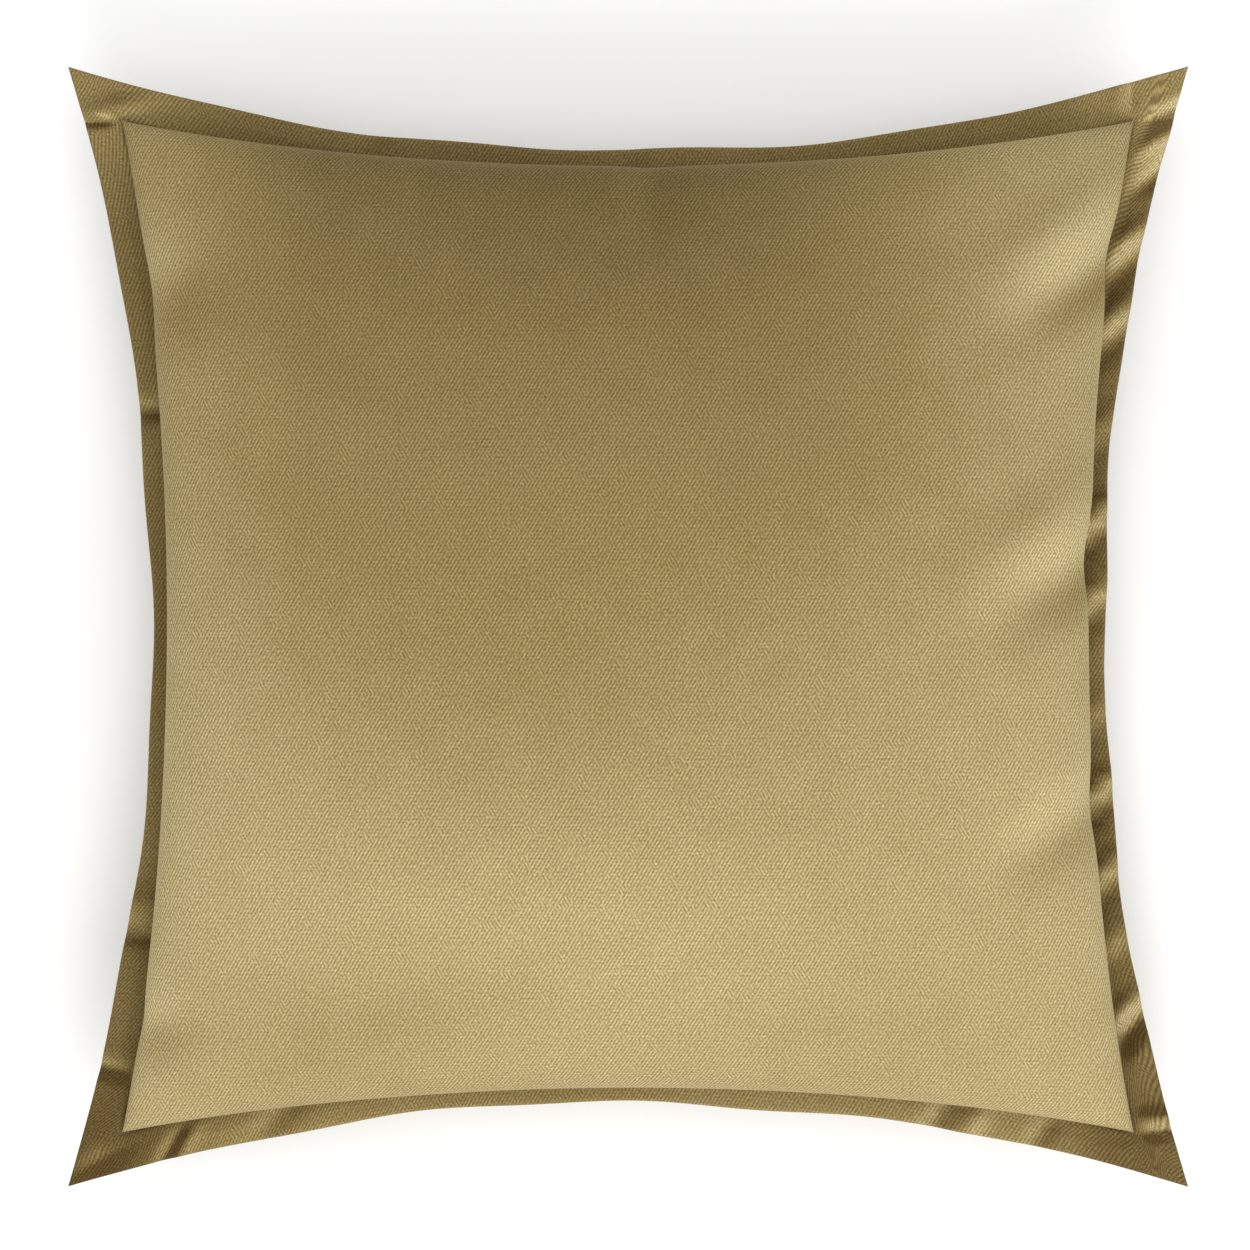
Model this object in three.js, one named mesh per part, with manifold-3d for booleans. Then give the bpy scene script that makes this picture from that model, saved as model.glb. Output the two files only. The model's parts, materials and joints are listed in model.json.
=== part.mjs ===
// A throw pillow: a velvet cover with a flange all round, a zip in its back, and a stuffed insert.
// It lies on its back. X runs across its face, Y up its face, Z out of its face. Millimetres.
// The origin is under its middle, on the surface that it rests on.
import * as THREE from 'three';
import Module from 'manifold-3d';

// Outline of the cover, seen from the front
const FLANGE_HALF_WIDTH = 245; // middle to a corner of the flange, along X
const FLANGE_HALF_HEIGHT = 245; // the same, along Y
const FLANGE_WIDTH = 24; // topstitch to outer edge
const EDGE_PULL_IN = 37; // how far the outer edge curves in at the middle of a side
const SEAM_PULL_IN = 34; // how far the topstitch curves in there
const HEM_START = 0.55; // share of the flange's width where the turned-in hem begins

// The stuffed body
const FRONT_CROWN = 72; // middle of the flange to the top of the front
const FLANGE_LEVEL = 60; // resting surface to the middle of the flange
const BACK_FLATTENING = 6; // how much of the back's crown is pressed flat
const BODY_OVERHANG = 12; // how far the body bulges out past the topstitch at the middle of a side
const CORNER_FULLNESS = 0.8; // lower is fuller in the corners

// Cloth and insert
const VELVET = 1.2;
const PLY_GAP = 1.1; // between the front and back plies of the flange
const TICKING = 0.5;
const CREASE = 2.4; // how far inside a seam a layer's inner face begins, in thicknesses of the layer
const INSERT_PLAY = 0.6; // underside of the zip's slider to the insert
const INSERT_SEAM_INSET = 10; // topstitch to the insert's seam
const FILL_GAP = 4; // insert shell to fill
const FILL_EDGE_INSET = 12; // insert's seam to the edge of the fill
const FILL_EDGE = 0.5; // half of the fill's thickness at its edge

// Threads and labels
const THREAD = 0.5;
const PIECE_GAP = 0.3; // between pieces that touch
const THREAD_GAP = 0.4; // between a straight stitch line and the cloth under it
const STITCH_OFFSET = 2.5; // edge of the body to the topstitch thread
const EDGE_STITCH_INSET = 1.5; // outer edge to the edge seam's thread
const LABEL = 0.3;
const LABEL_GAP = 0.5;

// Zip, in the back near the lower edge
const ZIP_FROM_SEAM = 38; // cloth between the topstitch and the middle of the zip
const ZIP_END_MARGIN = 45; // corner of the topstitch to the end of the zip, along X
const SLOT_PLAY = 0.5; // side of the slider to the edge of the cloth
const SLOT_TAPER = 8; // length in which the slot closes past the zip's end
const JOIN_GAP = 0.5; // between the two back pieces where they are seamed
const TAPE_WIDTH = 12;
const TAPE = 0.5;
const TAPE_BORDER = 1; // cloth that stays flat beyond the tape
const COIL_WIDTH = 2;
const COIL_HEIGHT = 1.6;
const COIL_GAP = 0.15; // middle of the zip to a closed coil
const STITCH_FROM_SLOT = 2; // edge of the cloth to the stitch line that holds the tape
const STRIP_BLEND = 26; // width over which the cloth leaves the flat strip of the zip
const STOP_LENGTH = 2.4;
const STOP_WALL = 0.7;

// Slider, along the zip from its nose at -X to its tail at +X
const SLIDER_LENGTH = 9.6;
const SLIDER_TAIL_WIDTH = 6.4;
const SLIDER_PLATE = 0.9;
const RAIL_WIDTH = 0.6;
const SLIDER_BASE_INSET = 0.3; // the lower plate is smaller than the upper
const POST_LENGTH = 2.6;
const POST_WIDTH = 1.6;
const BRIDGE_LENGTH = 7;
const BRIDGE_WIDTH = 1.8;
const BRIDGE_WALL = 0.8;
const TAB_LENGTH = 22;
const TAB_WIDTH = 5.6;
const TAB_THICKNESS = 1;
const TAB_PIN = 1; // width of the bar that lies under the bridge
const TAB_PLAY = 0.35; // round that bar
const TAB_HOLE_PLAY = 0.6; // round the bridge

// How finely the cloth is divided
const BODY_STEPS = 12;
const RING_STEPS = 14;
const ZIP_STEPS = 18;

const SEAM_HALF_WIDTH = FLANGE_HALF_WIDTH - FLANGE_WIDTH;
const SEAM_HALF_HEIGHT = FLANGE_HALF_HEIGHT - FLANGE_WIDTH;

// The zip's pieces across it, from its middle outwards
const TAPE_EDGE = POST_WIDTH / 2 + PIECE_GAP;
const OPEN_SHIFT = TAPE_EDGE - COIL_GAP; // how far the post holds a coil aside
const RAIL_FACE = COIL_GAP + OPEN_SHIFT + COIL_WIDTH + PIECE_GAP;
const SLIDER_HALF_WIDTH = RAIL_FACE + RAIL_WIDTH;
const ZIP_SLOT = 2 * (SLIDER_HALF_WIDTH + SLOT_PLAY); // between the two edges of the cloth

// The zip's pieces in depth: heights are out from the face of the cloth
const TAPE_DEPTH = VELVET + PIECE_GAP;
const COIL_LOW = -TAPE_DEPTH + PIECE_GAP;
const COIL_HIGH = COIL_LOW + COIL_HEIGHT;
const SLIDER_UNDER = COIL_HIGH + PIECE_GAP;
const SLIDER_TOP = SLIDER_UNDER + SLIDER_PLATE;
const SLIDER_FLOOR = -TAPE_DEPTH - TAPE - PIECE_GAP;
const SLIDER_BASE = SLIDER_FLOOR - SLIDER_PLATE;
const PIN_HEIGHT = SLIDER_TOP + TAB_PLAY + TAB_THICKNESS / 2;
const BRIDGE_UNDER = PIN_HEIGHT + TAB_THICKNESS / 2 + TAB_PLAY;
const BRIDGE_TOP = BRIDGE_UNDER + BRIDGE_WALL;

const FRONT = { facing: 1, crown: FRONT_CROWN };
const BACK = { facing: -1, crown: FLANGE_LEVEL + BACK_FLATTENING };
const COVER = { seamInset: 0, skinInset: 0, edge: VELVET };
const INSERT = { seamInset: INSERT_SEAM_INSET, skinInset: INSERT_PLAY - SLIDER_BASE, edge: TICKING };
const FILL = {
  seamInset: INSERT_SEAM_INSET + FILL_EDGE_INSET,
  skinInset: INSERT.skinInset + TICKING + FILL_GAP,
  edge: FILL_EDGE - PLY_GAP / 2,
};

const velvet = () => new THREE.MeshStandardMaterial({ color: 0x96824f, roughness: 0.95 });
const ticking = () => new THREE.MeshStandardMaterial({ color: 0xe9e6de, roughness: 0.9 });
const fibre = () => new THREE.MeshStandardMaterial({ color: 0xf5f5f2, roughness: 1 });
const thread = () => new THREE.MeshStandardMaterial({ color: 0x6e5b33, roughness: 0.7 });
const tapeCloth = () => new THREE.MeshStandardMaterial({ color: 0x7a683c, roughness: 0.85 });
const coilNylon = () => new THREE.MeshStandardMaterial({ color: 0x85733f, roughness: 0.45 });
const zipMetal = () => new THREE.MeshStandardMaterial({ color: 0x8f7a4a, roughness: 0.35, metalness: 0.9 });
const satin = () => new THREE.MeshStandardMaterial({ color: 0xf2f0ea, roughness: 0.5 });

const pillow = new THREE.Group();

function add(name, geometry, material, parent = pillow) {
  const mesh = new THREE.Mesh(geometry, material);
  mesh.name = name;
  parent.add(mesh);
  return mesh;
}

// ---- closed bodies from rows of points ----

function enclosedVolume(points, faces) {
  const normal = new THREE.Vector3();
  let six = 0;
  for (const [a, b, c] of faces) {
    six += points[a].dot(normal.crossVectors(points[b], points[c]));
  }
  return six / 6;
}

function closedBody(points, faces) {
  const outward = enclosedVolume(points, faces) > 0 ? faces : faces.map(([a, b, c]) => [a, c, b]);
  const geometry = new THREE.BufferGeometry().setFromPoints(points);
  geometry.setIndex(outward.flat());
  geometry.computeVertexNormals();
  return geometry;
}

function quad(faces, a, b, c, d) {
  faces.push([a, b, c], [a, c, d]);
}

// A body between two grids of points, which share their rows and columns
function between(upper, lower) {
  const rows = upper.length;
  const columns = upper[0].length;
  const points = [...upper.flat(), ...lower.flat()];
  const under = rows * columns;
  const at = (row, column) => row * columns + column;
  const faces = [];
  for (let row = 0; row + 1 < rows; row += 1) {
    for (let column = 0; column + 1 < columns; column += 1) {
      const [a, b, c, d] = [at(row, column), at(row, column + 1), at(row + 1, column + 1), at(row + 1, column)];
      quad(faces, a, b, c, d);
      quad(faces, a + under, d + under, c + under, b + under);
    }
  }
  for (let row = 0; row + 1 < rows; row += 1) {
    const [first, second] = [at(row, 0), at(row + 1, 0)];
    quad(faces, second, second + under, first + under, first);
    const [third, fourth] = [at(row, columns - 1), at(row + 1, columns - 1)];
    quad(faces, fourth, third, third + under, fourth + under);
  }
  for (let column = 0; column + 1 < columns; column += 1) {
    const [first, second] = [at(0, column), at(0, column + 1)];
    quad(faces, second, first, first + under, second + under);
    const [third, fourth] = [at(rows - 1, column), at(rows - 1, column + 1)];
    quad(faces, fourth, fourth + under, third + under, third);
  }
  return closedBody(points, faces);
}

// A body through four-cornered sections, open with two ends or closed into a loop
function through(sections, loop = false) {
  const points = sections.flat();
  const faces = [];
  const count = sections.length;
  const spans = loop ? count : count - 1;
  for (let i = 0; i < spans; i += 1) {
    const here = i * 4;
    const next = ((i + 1) % count) * 4;
    for (let side = 0; side < 4; side += 1) {
      const other = (side + 1) % 4;
      quad(faces, here + side, here + other, next + other, next + side);
    }
  }
  if (!loop) {
    const last = (count - 1) * 4;
    quad(faces, 3, 2, 1, 0);
    quad(faces, last, last + 1, last + 2, last + 3);
  }
  return closedBody(points, faces);
}

// ---- the shape of the cushion ----

const sineOf = (station) => Math.sin((station * Math.PI) / 2);

function smooth(value, from, to) {
  const share = THREE.MathUtils.clamp((value - from) / (to - from), 0, 1);
  return share * share * (3 - 2 * share);
}

// How far the body reaches from the middle, at u across it: to its topstitch and to its widest line
function reach(seamHalf, u, layer) {
  const seam = seamHalf - layer.seamInset - SEAM_PULL_IN * (1 - u * u);
  const widest = seam + (BODY_OVERHANG + layer.seamInset - layer.skinInset) * (1 - u * u);
  return { widest, turn: Math.PI - Math.asin(seam / widest) };
}

function rise(station, turn) {
  return (Math.cos(station * turn) - Math.cos(turn)) / (1 - Math.cos(turn));
}

// A point on the puffed half: s and t run from -1 to 1 between opposite topstitch lines
function puffed(half, layer, s, t) {
  const across = reach(SEAM_HALF_WIDTH, sineOf(t), layer);
  const along = reach(SEAM_HALF_HEIGHT, sineOf(s), layer);
  const edge = PLY_GAP / 2 + layer.edge;
  const swell = Math.max(rise(s, across.turn) * rise(t, along.turn), 0) ** CORNER_FULLNESS;
  const height = edge + (half.crown - layer.skinInset - edge) * swell;
  const level = FLANGE_LEVEL + half.facing * height;
  return new THREE.Vector3(
    across.widest * Math.sin(s * across.turn),
    along.widest * Math.sin(t * along.turn),
    Math.max(level, layer.skinInset),
  );
}

// ---- the strip of the zip: a band that turns about one far axis ----

// Where the row of the zip lies, from the length of cloth between it and the topstitch
function stationOfZip() {
  const step = 0.002;
  const last = puffed(BACK, COVER, 0, -1);
  let length = 0;
  let station = -1;
  while (length < ZIP_FROM_SEAM) {
    station += step;
    const next = puffed(BACK, COVER, 0, station);
    length += next.distanceTo(last);
    last.copy(next);
  }
  return station;
}

const ZIP_ROW = stationOfZip();

// The column whose point on a row lies at the distance x from the middle
function columnAt(x, row) {
  let low = 0;
  let high = 0.9;
  for (let i = 0; i < 40; i += 1) {
    const middle = (low + high) / 2;
    if (puffed(BACK, COVER, middle, row).x < x) {
      low = middle;
    } else {
      high = middle;
    }
  }
  return low;
}

const ZIP_HALF = SEAM_HALF_WIDTH - ZIP_END_MARGIN;
const ZIP_END_COLUMN = columnAt(ZIP_HALF, ZIP_ROW);
const TAPER_COLUMN = columnAt(ZIP_HALF + SLOT_TAPER, ZIP_ROW);

function zipStrip() {
  const small = 0.01;
  const middle = puffed(BACK, COVER, 0, ZIP_ROW);
  const end = puffed(BACK, COVER, ZIP_END_COLUMN, ZIP_ROW);
  const over = puffed(BACK, COVER, 0, ZIP_ROW + small).sub(puffed(BACK, COVER, 0, ZIP_ROW - small));
  const clothPerStation = over.length() / (2 * small);
  const across = over.normalize();
  const outward = across.clone().cross(new THREE.Vector3(1, 0, 0));
  const bow = end.clone().sub(middle).setX(0);
  const radius = (ZIP_HALF ** 2 + bow.lengthSq()) / (2 * bow.length());
  bow.normalize();
  const centre = middle.clone().addScaledVector(bow, radius);
  const axis = new THREE.Vector3(1, 0, 0).cross(bow);
  return { middle, across, outward, radius, centre, axis, clothPerStation };
}

const STRIP = zipStrip();
const ZIP_END_ANGLE = Math.asin(ZIP_HALF / STRIP.radius);
const turnOf = (length) => length / STRIP.radius;

// A point of the strip: turned along the zip, across it, and out from the face of the cloth
function onStrip(angle, across, out) {
  return STRIP.middle
    .clone()
    .addScaledVector(STRIP.across, across)
    .addScaledVector(STRIP.outward, out)
    .sub(STRIP.centre)
    .applyAxisAngle(STRIP.axis, angle)
    .add(STRIP.centre);
}

const STRIP_FLAT = TAPE_EDGE + TAPE_WIDTH + TAPE_BORDER;
const acrossZipAt = (t) => (t - ZIP_ROW) * STRIP.clothPerStation;

// How much of a point's place comes from the strip of the zip: all of it on the strip, none at the
// topstitch or beyond the blend
function stripShare(s, t) {
  const beyond = t < ZIP_ROW ? -acrossZipAt(-1) : STRIP_FLAT + STRIP_BLEND;
  const nearRow = 1 - smooth(Math.abs(acrossZipAt(t)), STRIP_FLAT, beyond);
  return nearRow * (1 - smooth(Math.abs(s), TAPER_COLUMN, 1));
}

// The cloth of the cover's back, which runs into the strip of the zip
function backSkin(s, t) {
  const angle = Math.asin(puffed(BACK, COVER, s, ZIP_ROW).x / STRIP.radius);
  return puffed(BACK, COVER, s, t).lerp(onStrip(angle, acrossZipAt(t), 0), stripShare(s, t));
}

// A point of a layer: near the strip, an inner layer lies at its depth under the cloth
function bodyPoint(half, layer, s, t) {
  if (half === FRONT) {
    return puffed(half, layer, s, t);
  }
  if (layer === COVER) {
    return backSkin(s, t);
  }
  const under = backSkin(s, t).addScaledVector(bodyNormal(BACK, COVER, s, t), -layer.skinInset);
  return puffed(half, layer, s, t).lerp(under, stripShare(s, t));
}

function bodyNormal(half, layer, s, t) {
  const small = 0.004;
  const alongS = bodyPoint(half, layer, s + small, t).sub(bodyPoint(half, layer, s - small, t));
  const alongT = bodyPoint(half, layer, s, t + small).sub(bodyPoint(half, layer, s, t - small));
  return alongS.cross(alongT).normalize().multiplyScalar(half.facing);
}

// ---- the flange ----

// How far one line of the flange is from the middle, at the place along it on the crossing axis
function flangeReach(station, along, seamHalf, crossingHalf) {
  const share = Math.abs(station) - 1;
  const pullIn = THREE.MathUtils.lerp(SEAM_PULL_IN, EDGE_PULL_IN, share);
  const place = along / (crossingHalf + share * FLANGE_WIDTH);
  return Math.sign(station) * (seamHalf + share * FLANGE_WIDTH - pullIn * (1 - place * place));
}

// Stations from 1 to 2 cross the flange, from the topstitch to the outer edge
function flangePlan(s, t) {
  let x = SEAM_HALF_WIDTH * sineOf(THREE.MathUtils.clamp(s, -1, 1));
  let y = SEAM_HALF_HEIGHT * sineOf(THREE.MathUtils.clamp(t, -1, 1));
  for (let i = 0; i < 8; i += 1) {
    if (Math.abs(s) >= 1) {
      x = flangeReach(s, y, SEAM_HALF_WIDTH, SEAM_HALF_HEIGHT);
    }
    if (Math.abs(t) >= 1) {
      y = flangeReach(t, x, SEAM_HALF_HEIGHT, SEAM_HALF_WIDTH);
    }
  }
  return [x, y];
}

function flangeThickness(s, t) {
  const share = Math.max(Math.abs(s), Math.abs(t)) - 1;
  return share > HEM_START ? VELVET * 2 : VELVET;
}

// The inner face of a layer: under its outer face, and set in at its seam, where the layer folds
function innerFace(half, layer, thickness, s, t) {
  if (Math.max(Math.abs(s), Math.abs(t)) < 1) {
    return bodyPoint(half, layer, s, t).addScaledVector(bodyNormal(half, layer, s, t), -thickness);
  }
  const folded = { ...layer, seamInset: layer.seamInset + CREASE * thickness };
  return puffed(half, folded, s, t).setZ(FLANGE_LEVEL + (half.facing * PLY_GAP) / 2);
}

// The two faces of a panel of the cover at one station
function panelFaces(half, s, t) {
  const station = Math.max(Math.abs(s), Math.abs(t));
  if (station < 1) {
    return [bodyPoint(half, COVER, s, t), innerFace(half, COVER, VELVET, s, t)];
  }
  const [x, y] = flangePlan(s, t);
  const level = FLANGE_LEVEL + (half.facing * PLY_GAP) / 2;
  const outer = new THREE.Vector3(x, y, level + half.facing * flangeThickness(s, t));
  return [outer, station === 1 ? innerFace(half, COVER, VELVET, s, t) : new THREE.Vector3(x, y, level)];
}

// ---- rows and columns ----

const ZIP_FLAT = STRIP_FLAT / STRIP.clothPerStation;
const ZIP_ROWS = [ZIP_ROW - ZIP_FLAT, ZIP_ROW, ZIP_ROW + ZIP_FLAT];
const ZIP_COLUMNS = [-TAPER_COLUMN, -ZIP_END_COLUMN, ZIP_END_COLUMN, TAPER_COLUMN];

function stationsWith(extra) {
  const clear = 0.4 / BODY_STEPS;
  const stations = [];
  for (let i = 0; i <= BODY_STEPS; i += 1) {
    const station = (2 * i) / BODY_STEPS - 1;
    const edge = i === 0 || i === BODY_STEPS;
    if (edge || extra.every((other) => Math.abs(other - station) > clear)) {
      stations.push(station);
    }
  }
  return [...stations, ...extra].sort((a, b) => a - b);
}

function withFlange(stations) {
  const hem = [1 + HEM_START, 1 + HEM_START + 0.1, 2];
  return [...hem.map((station) => -station).reverse(), ...stations, ...hem];
}

const COLUMNS = stationsWith(ZIP_COLUMNS);
const ROWS = stationsWith(ZIP_ROWS);

// Inside the cover, two more rows stay flat under the slider
const SLOT_ROW = ZIP_SLOT / 2 / STRIP.clothPerStation;
const INNER_ROWS = [...ROWS, ZIP_ROW - SLOT_ROW, ZIP_ROW + SLOT_ROW].sort((a, b) => a - b);

// The fill is rounder: it cuts the corner between the strip and the seam
const FILL_ROWS = INNER_ROWS.filter((t) => t === -1 || t >= ZIP_ROW);

const gridOf = (rows, columns, pointAt) => rows.map((t) => columns.map((s) => pointAt(s, t)));

// ---- cover ----

function coverPanel(half, rows, rowAt = (s, t) => t) {
  const columns = withFlange(COLUMNS);
  const faces = gridOf(rows, columns, (s, t) => panelFaces(half, s, rowAt(s, t)));
  const outer = faces.map((row) => row.map(([point]) => point));
  const inner = faces.map((row) => row.map(([, point]) => point));
  return between(outer, inner);
}

// The row of a back piece's cut edge: open along the zip, closed to a seam beyond its ends
function cutEdge(s, side) {
  const past = (Math.abs(s) - ZIP_END_COLUMN) / (TAPER_COLUMN - ZIP_END_COLUMN);
  const halfSlot = THREE.MathUtils.lerp(ZIP_SLOT / 2, JOIN_GAP / 2, THREE.MathUtils.clamp(past, 0, 1));
  return ZIP_ROW + (side * halfSlot) / STRIP.clothPerStation;
}

add('cover_front', coverPanel(FRONT, withFlange(ROWS)), velvet());
add(
  'cover_back_upper',
  coverPanel(
    BACK,
    withFlange(ROWS).filter((t) => t >= ZIP_ROW),
    (s, t) => (t === ZIP_ROW ? cutEdge(s, 1) : t),
  ),
  velvet(),
);
add(
  'cover_back_lower',
  coverPanel(
    BACK,
    withFlange(ROWS).filter((t) => t <= ZIP_ROW),
    (s, t) => (t === ZIP_ROW ? cutEdge(s, -1) : t),
  ),
  velvet(),
);

// ---- insert ----

function insertShell(half) {
  const outer = gridOf(INNER_ROWS, COLUMNS, (s, t) => bodyPoint(half, INSERT, s, t));
  const inner = gridOf(INNER_ROWS, COLUMNS, (s, t) => innerFace(half, INSERT, TICKING, s, t));
  return between(outer, inner);
}

add('insert_shell_front', insertShell(FRONT), ticking());
add('insert_shell_back', insertShell(BACK), ticking());
add(
  'insert_fill',
  between(
    gridOf(FILL_ROWS, COLUMNS, (s, t) => bodyPoint(FRONT, FILL, s, t)),
    gridOf(FILL_ROWS, COLUMNS, (s, t) => bodyPoint(BACK, FILL, s, t)),
  ),
  fibre(),
);

// ---- threads that run round the pillow ----

// Stations round one square ring, each side in turn
function ringStations(ring) {
  const stations = [];
  for (let side = 0; side < 4; side += 1) {
    for (let i = 0; i < RING_STEPS; i += 1) {
      const along = ring * ((2 * i) / RING_STEPS - 1);
      stations.push([[along, -ring], [ring, along], [-along, ring], [-ring, -along]][side]);
    }
  }
  return stations;
}

// A thread on the flange, with its middle at a distance outside the topstitch line
function flangeThread(distance, level) {
  const inside = 1 + (distance - THREAD / 2) / FLANGE_WIDTH;
  const outside = 1 + (distance + THREAD / 2) / FLANGE_WIDTH;
  const inner = ringStations(inside).map(([s, t]) => flangePlan(s, t));
  const outer = ringStations(outside).map(([s, t]) => flangePlan(s, t));
  return through(
    inner.map(([x, y], i) => [
      new THREE.Vector3(x, y, level - THREAD / 2),
      new THREE.Vector3(outer[i][0], outer[i][1], level - THREAD / 2),
      new THREE.Vector3(outer[i][0], outer[i][1], level + THREAD / 2),
      new THREE.Vector3(x, y, level + THREAD / 2),
    ]),
    true,
  );
}

function insertSeamThread() {
  const inner = { ...INSERT, seamInset: INSERT.seamInset + THREAD };
  const flat = (layer, s, t) => puffed(FRONT, layer, s, t).setZ(FLANGE_LEVEL);
  const lift = new THREE.Vector3(0, 0, THREAD / 2);
  return through(
    ringStations(1).map(([s, t]) => {
      const outside = flat(INSERT, s, t);
      const inside = flat(inner, s, t);
      return [
        inside.clone().sub(lift),
        outside.clone().sub(lift),
        outside.clone().add(lift),
        inside.clone().add(lift),
      ];
    }),
    true,
  );
}

const STITCH_HEIGHT = PLY_GAP / 2 + VELVET + PIECE_GAP + THREAD / 2;
add('flange_needle_thread', flangeThread(STITCH_OFFSET, FLANGE_LEVEL + STITCH_HEIGHT), thread());
add('flange_bobbin_thread', flangeThread(STITCH_OFFSET, FLANGE_LEVEL - STITCH_HEIGHT), thread());
add('edge_seam_thread', flangeThread(FLANGE_WIDTH - EDGE_STITCH_INSET, FLANGE_LEVEL), thread());
add('insert_seam_thread', insertSeamThread(), thread());

// ---- zip ----

function sweepAlongZip(angles, from, to, low, high, shift = () => 0) {
  return through(
    angles.map((angle) => {
      const aside = shift(angle);
      return [
        onStrip(angle, from + aside, low),
        onStrip(angle, to + aside, low),
        onStrip(angle, to + aside, high),
        onStrip(angle, from + aside, high),
      ];
    }),
  );
}

function anglesBetween(from, to, steps) {
  return Array.from({ length: steps + 1 }, (_, i) => from + ((to - from) * i) / steps);
}

const TAPE_ANGLE = ZIP_END_ANGLE + turnOf(SLOT_TAPER);
const CHAIN_START = -ZIP_END_ANGLE + turnOf(PIECE_GAP);
const CHAIN_END = ZIP_END_ANGLE - turnOf(PIECE_GAP);
const SLIDER_ANGLE = CHAIN_START + turnOf(STOP_LENGTH + PIECE_GAP + SLIDER_LENGTH / 2);

// How far a coil stands aside: apart ahead of the slider's post, together behind the slider
function coilShift(angle) {
  const post = SLIDER_ANGLE - turnOf(SLIDER_LENGTH / 2 - POST_LENGTH);
  const tail = SLIDER_ANGLE + turnOf(SLIDER_LENGTH / 2);
  return OPEN_SHIFT * (1 - THREE.MathUtils.clamp((angle - post) / (tail - post), 0, 1));
}

const coilShiftOn = (side) => (angle) => side * coilShift(angle);

function coilAngles() {
  const stopped = CHAIN_START + turnOf(STOP_LENGTH + PIECE_GAP);
  const post = SLIDER_ANGLE - turnOf(SLIDER_LENGTH / 2 - POST_LENGTH);
  const tail = SLIDER_ANGLE + turnOf(SLIDER_LENGTH / 2);
  const ending = CHAIN_END - turnOf(STOP_LENGTH + PIECE_GAP);
  return [stopped, post, ...anglesBetween(tail, ending, ZIP_STEPS)];
}

function stop(from, to, angle) {
  const angles = [angle - turnOf(STOP_LENGTH / 2), angle + turnOf(STOP_LENGTH / 2)];
  return sweepAlongZip(angles, from, to, COIL_LOW, COIL_HIGH + STOP_WALL);
}

for (const [name, side] of [['upper', 1], ['lower', -1]]) {
  const tapeAngles = anglesBetween(-TAPE_ANGLE, TAPE_ANGLE, ZIP_STEPS);
  const tapeFar = TAPE_EDGE + TAPE_WIDTH;
  add(
    `zipper_tape_${name}`,
    sweepAlongZip(tapeAngles, side * TAPE_EDGE, side * tapeFar, -TAPE_DEPTH - TAPE, -TAPE_DEPTH),
    tapeCloth(),
  );
  const coilFar = COIL_GAP + COIL_WIDTH;
  add(
    `zipper_coil_${name}`,
    sweepAlongZip(coilAngles(), side * COIL_GAP, side * coilFar, COIL_LOW, COIL_HIGH, coilShiftOn(side)),
    coilNylon(),
  );
  const stopNear = COIL_GAP + OPEN_SHIFT;
  add(
    `zipper_top_stop_${name}`,
    stop(side * stopNear, side * (stopNear + COIL_WIDTH), CHAIN_START + turnOf(STOP_LENGTH / 2)),
    zipMetal(),
  );
  const stitchFrom = ZIP_SLOT / 2 + STITCH_FROM_SLOT;
  add(
    `zip_stitch_${name}`,
    sweepAlongZip(
      anglesBetween(-ZIP_END_ANGLE, ZIP_END_ANGLE, ZIP_STEPS),
      side * stitchFrom,
      side * (stitchFrom + THREAD),
      THREAD_GAP,
      THREAD_GAP + THREAD,
    ),
    thread(),
  );
}

const CHAIN_SIDE = COIL_GAP + COIL_WIDTH;
add('zipper_bottom_stop', stop(-CHAIN_SIDE, CHAIN_SIDE, CHAIN_END - turnOf(STOP_LENGTH / 2)), zipMetal());

// The plain seams beyond the ends of the zip, out to the topstitch
function joinSeam(side) {
  const steps = 4;
  const first = TAPER_COLUMN + 0.02;
  const last = 0.97;
  return through(
    anglesBetween(first, last, steps).map((column) => {
      const s = side * column;
      const point = bodyPoint(BACK, COVER, s, ZIP_ROW);
      const out = bodyNormal(BACK, COVER, s, ZIP_ROW);
      const small = 0.01;
      const above = bodyPoint(BACK, COVER, s, ZIP_ROW + small);
      const over = above.sub(bodyPoint(BACK, COVER, s, ZIP_ROW - small)).normalize();
      const corner = (across, height) =>
        point.clone().addScaledVector(over, across).addScaledVector(out, height);
      const low = THREAD_GAP + PIECE_GAP;
      return [
        corner(-THREAD / 2, low),
        corner(THREAD / 2, low),
        corner(THREAD / 2, low + THREAD),
        corner(-THREAD / 2, low + THREAD),
      ];
    }),
  );
}

add('back_join_seam_left', joinSeam(-1), thread());
add('back_join_seam_right', joinSeam(1), thread());

// ---- slider and pull tab ----

const wasm = await Module();
wasm.setup();

function solidOf(geometry) {
  const source = geometry.index ? geometry.toNonIndexed() : geometry;
  const positions = source.getAttribute('position');
  const places = new Map();
  const vertices = [];
  const triangles = [];
  for (let i = 0; i < positions.count; i += 1) {
    const corner = [positions.getX(i), positions.getY(i), positions.getZ(i)];
    const key = corner.map((value) => value.toFixed(5)).join();
    if (!places.has(key)) {
      places.set(key, vertices.length / 3);
      vertices.push(...corner);
    }
    triangles.push(places.get(key));
  }
  const mesh = new wasm.Mesh({
    numProp: 3,
    vertProperties: new Float32Array(vertices),
    triVerts: new Uint32Array(triangles),
  });
  return new wasm.Manifold(mesh);
}

function geometryOf(solid) {
  const mesh = solid.getMesh();
  const geometry = new THREE.BufferGeometry();
  geometry.setAttribute('position', new THREE.BufferAttribute(mesh.vertProperties, 3));
  geometry.setIndex(new THREE.BufferAttribute(mesh.triVerts, 1));
  geometry.computeVertexNormals();
  return geometry;
}

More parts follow.
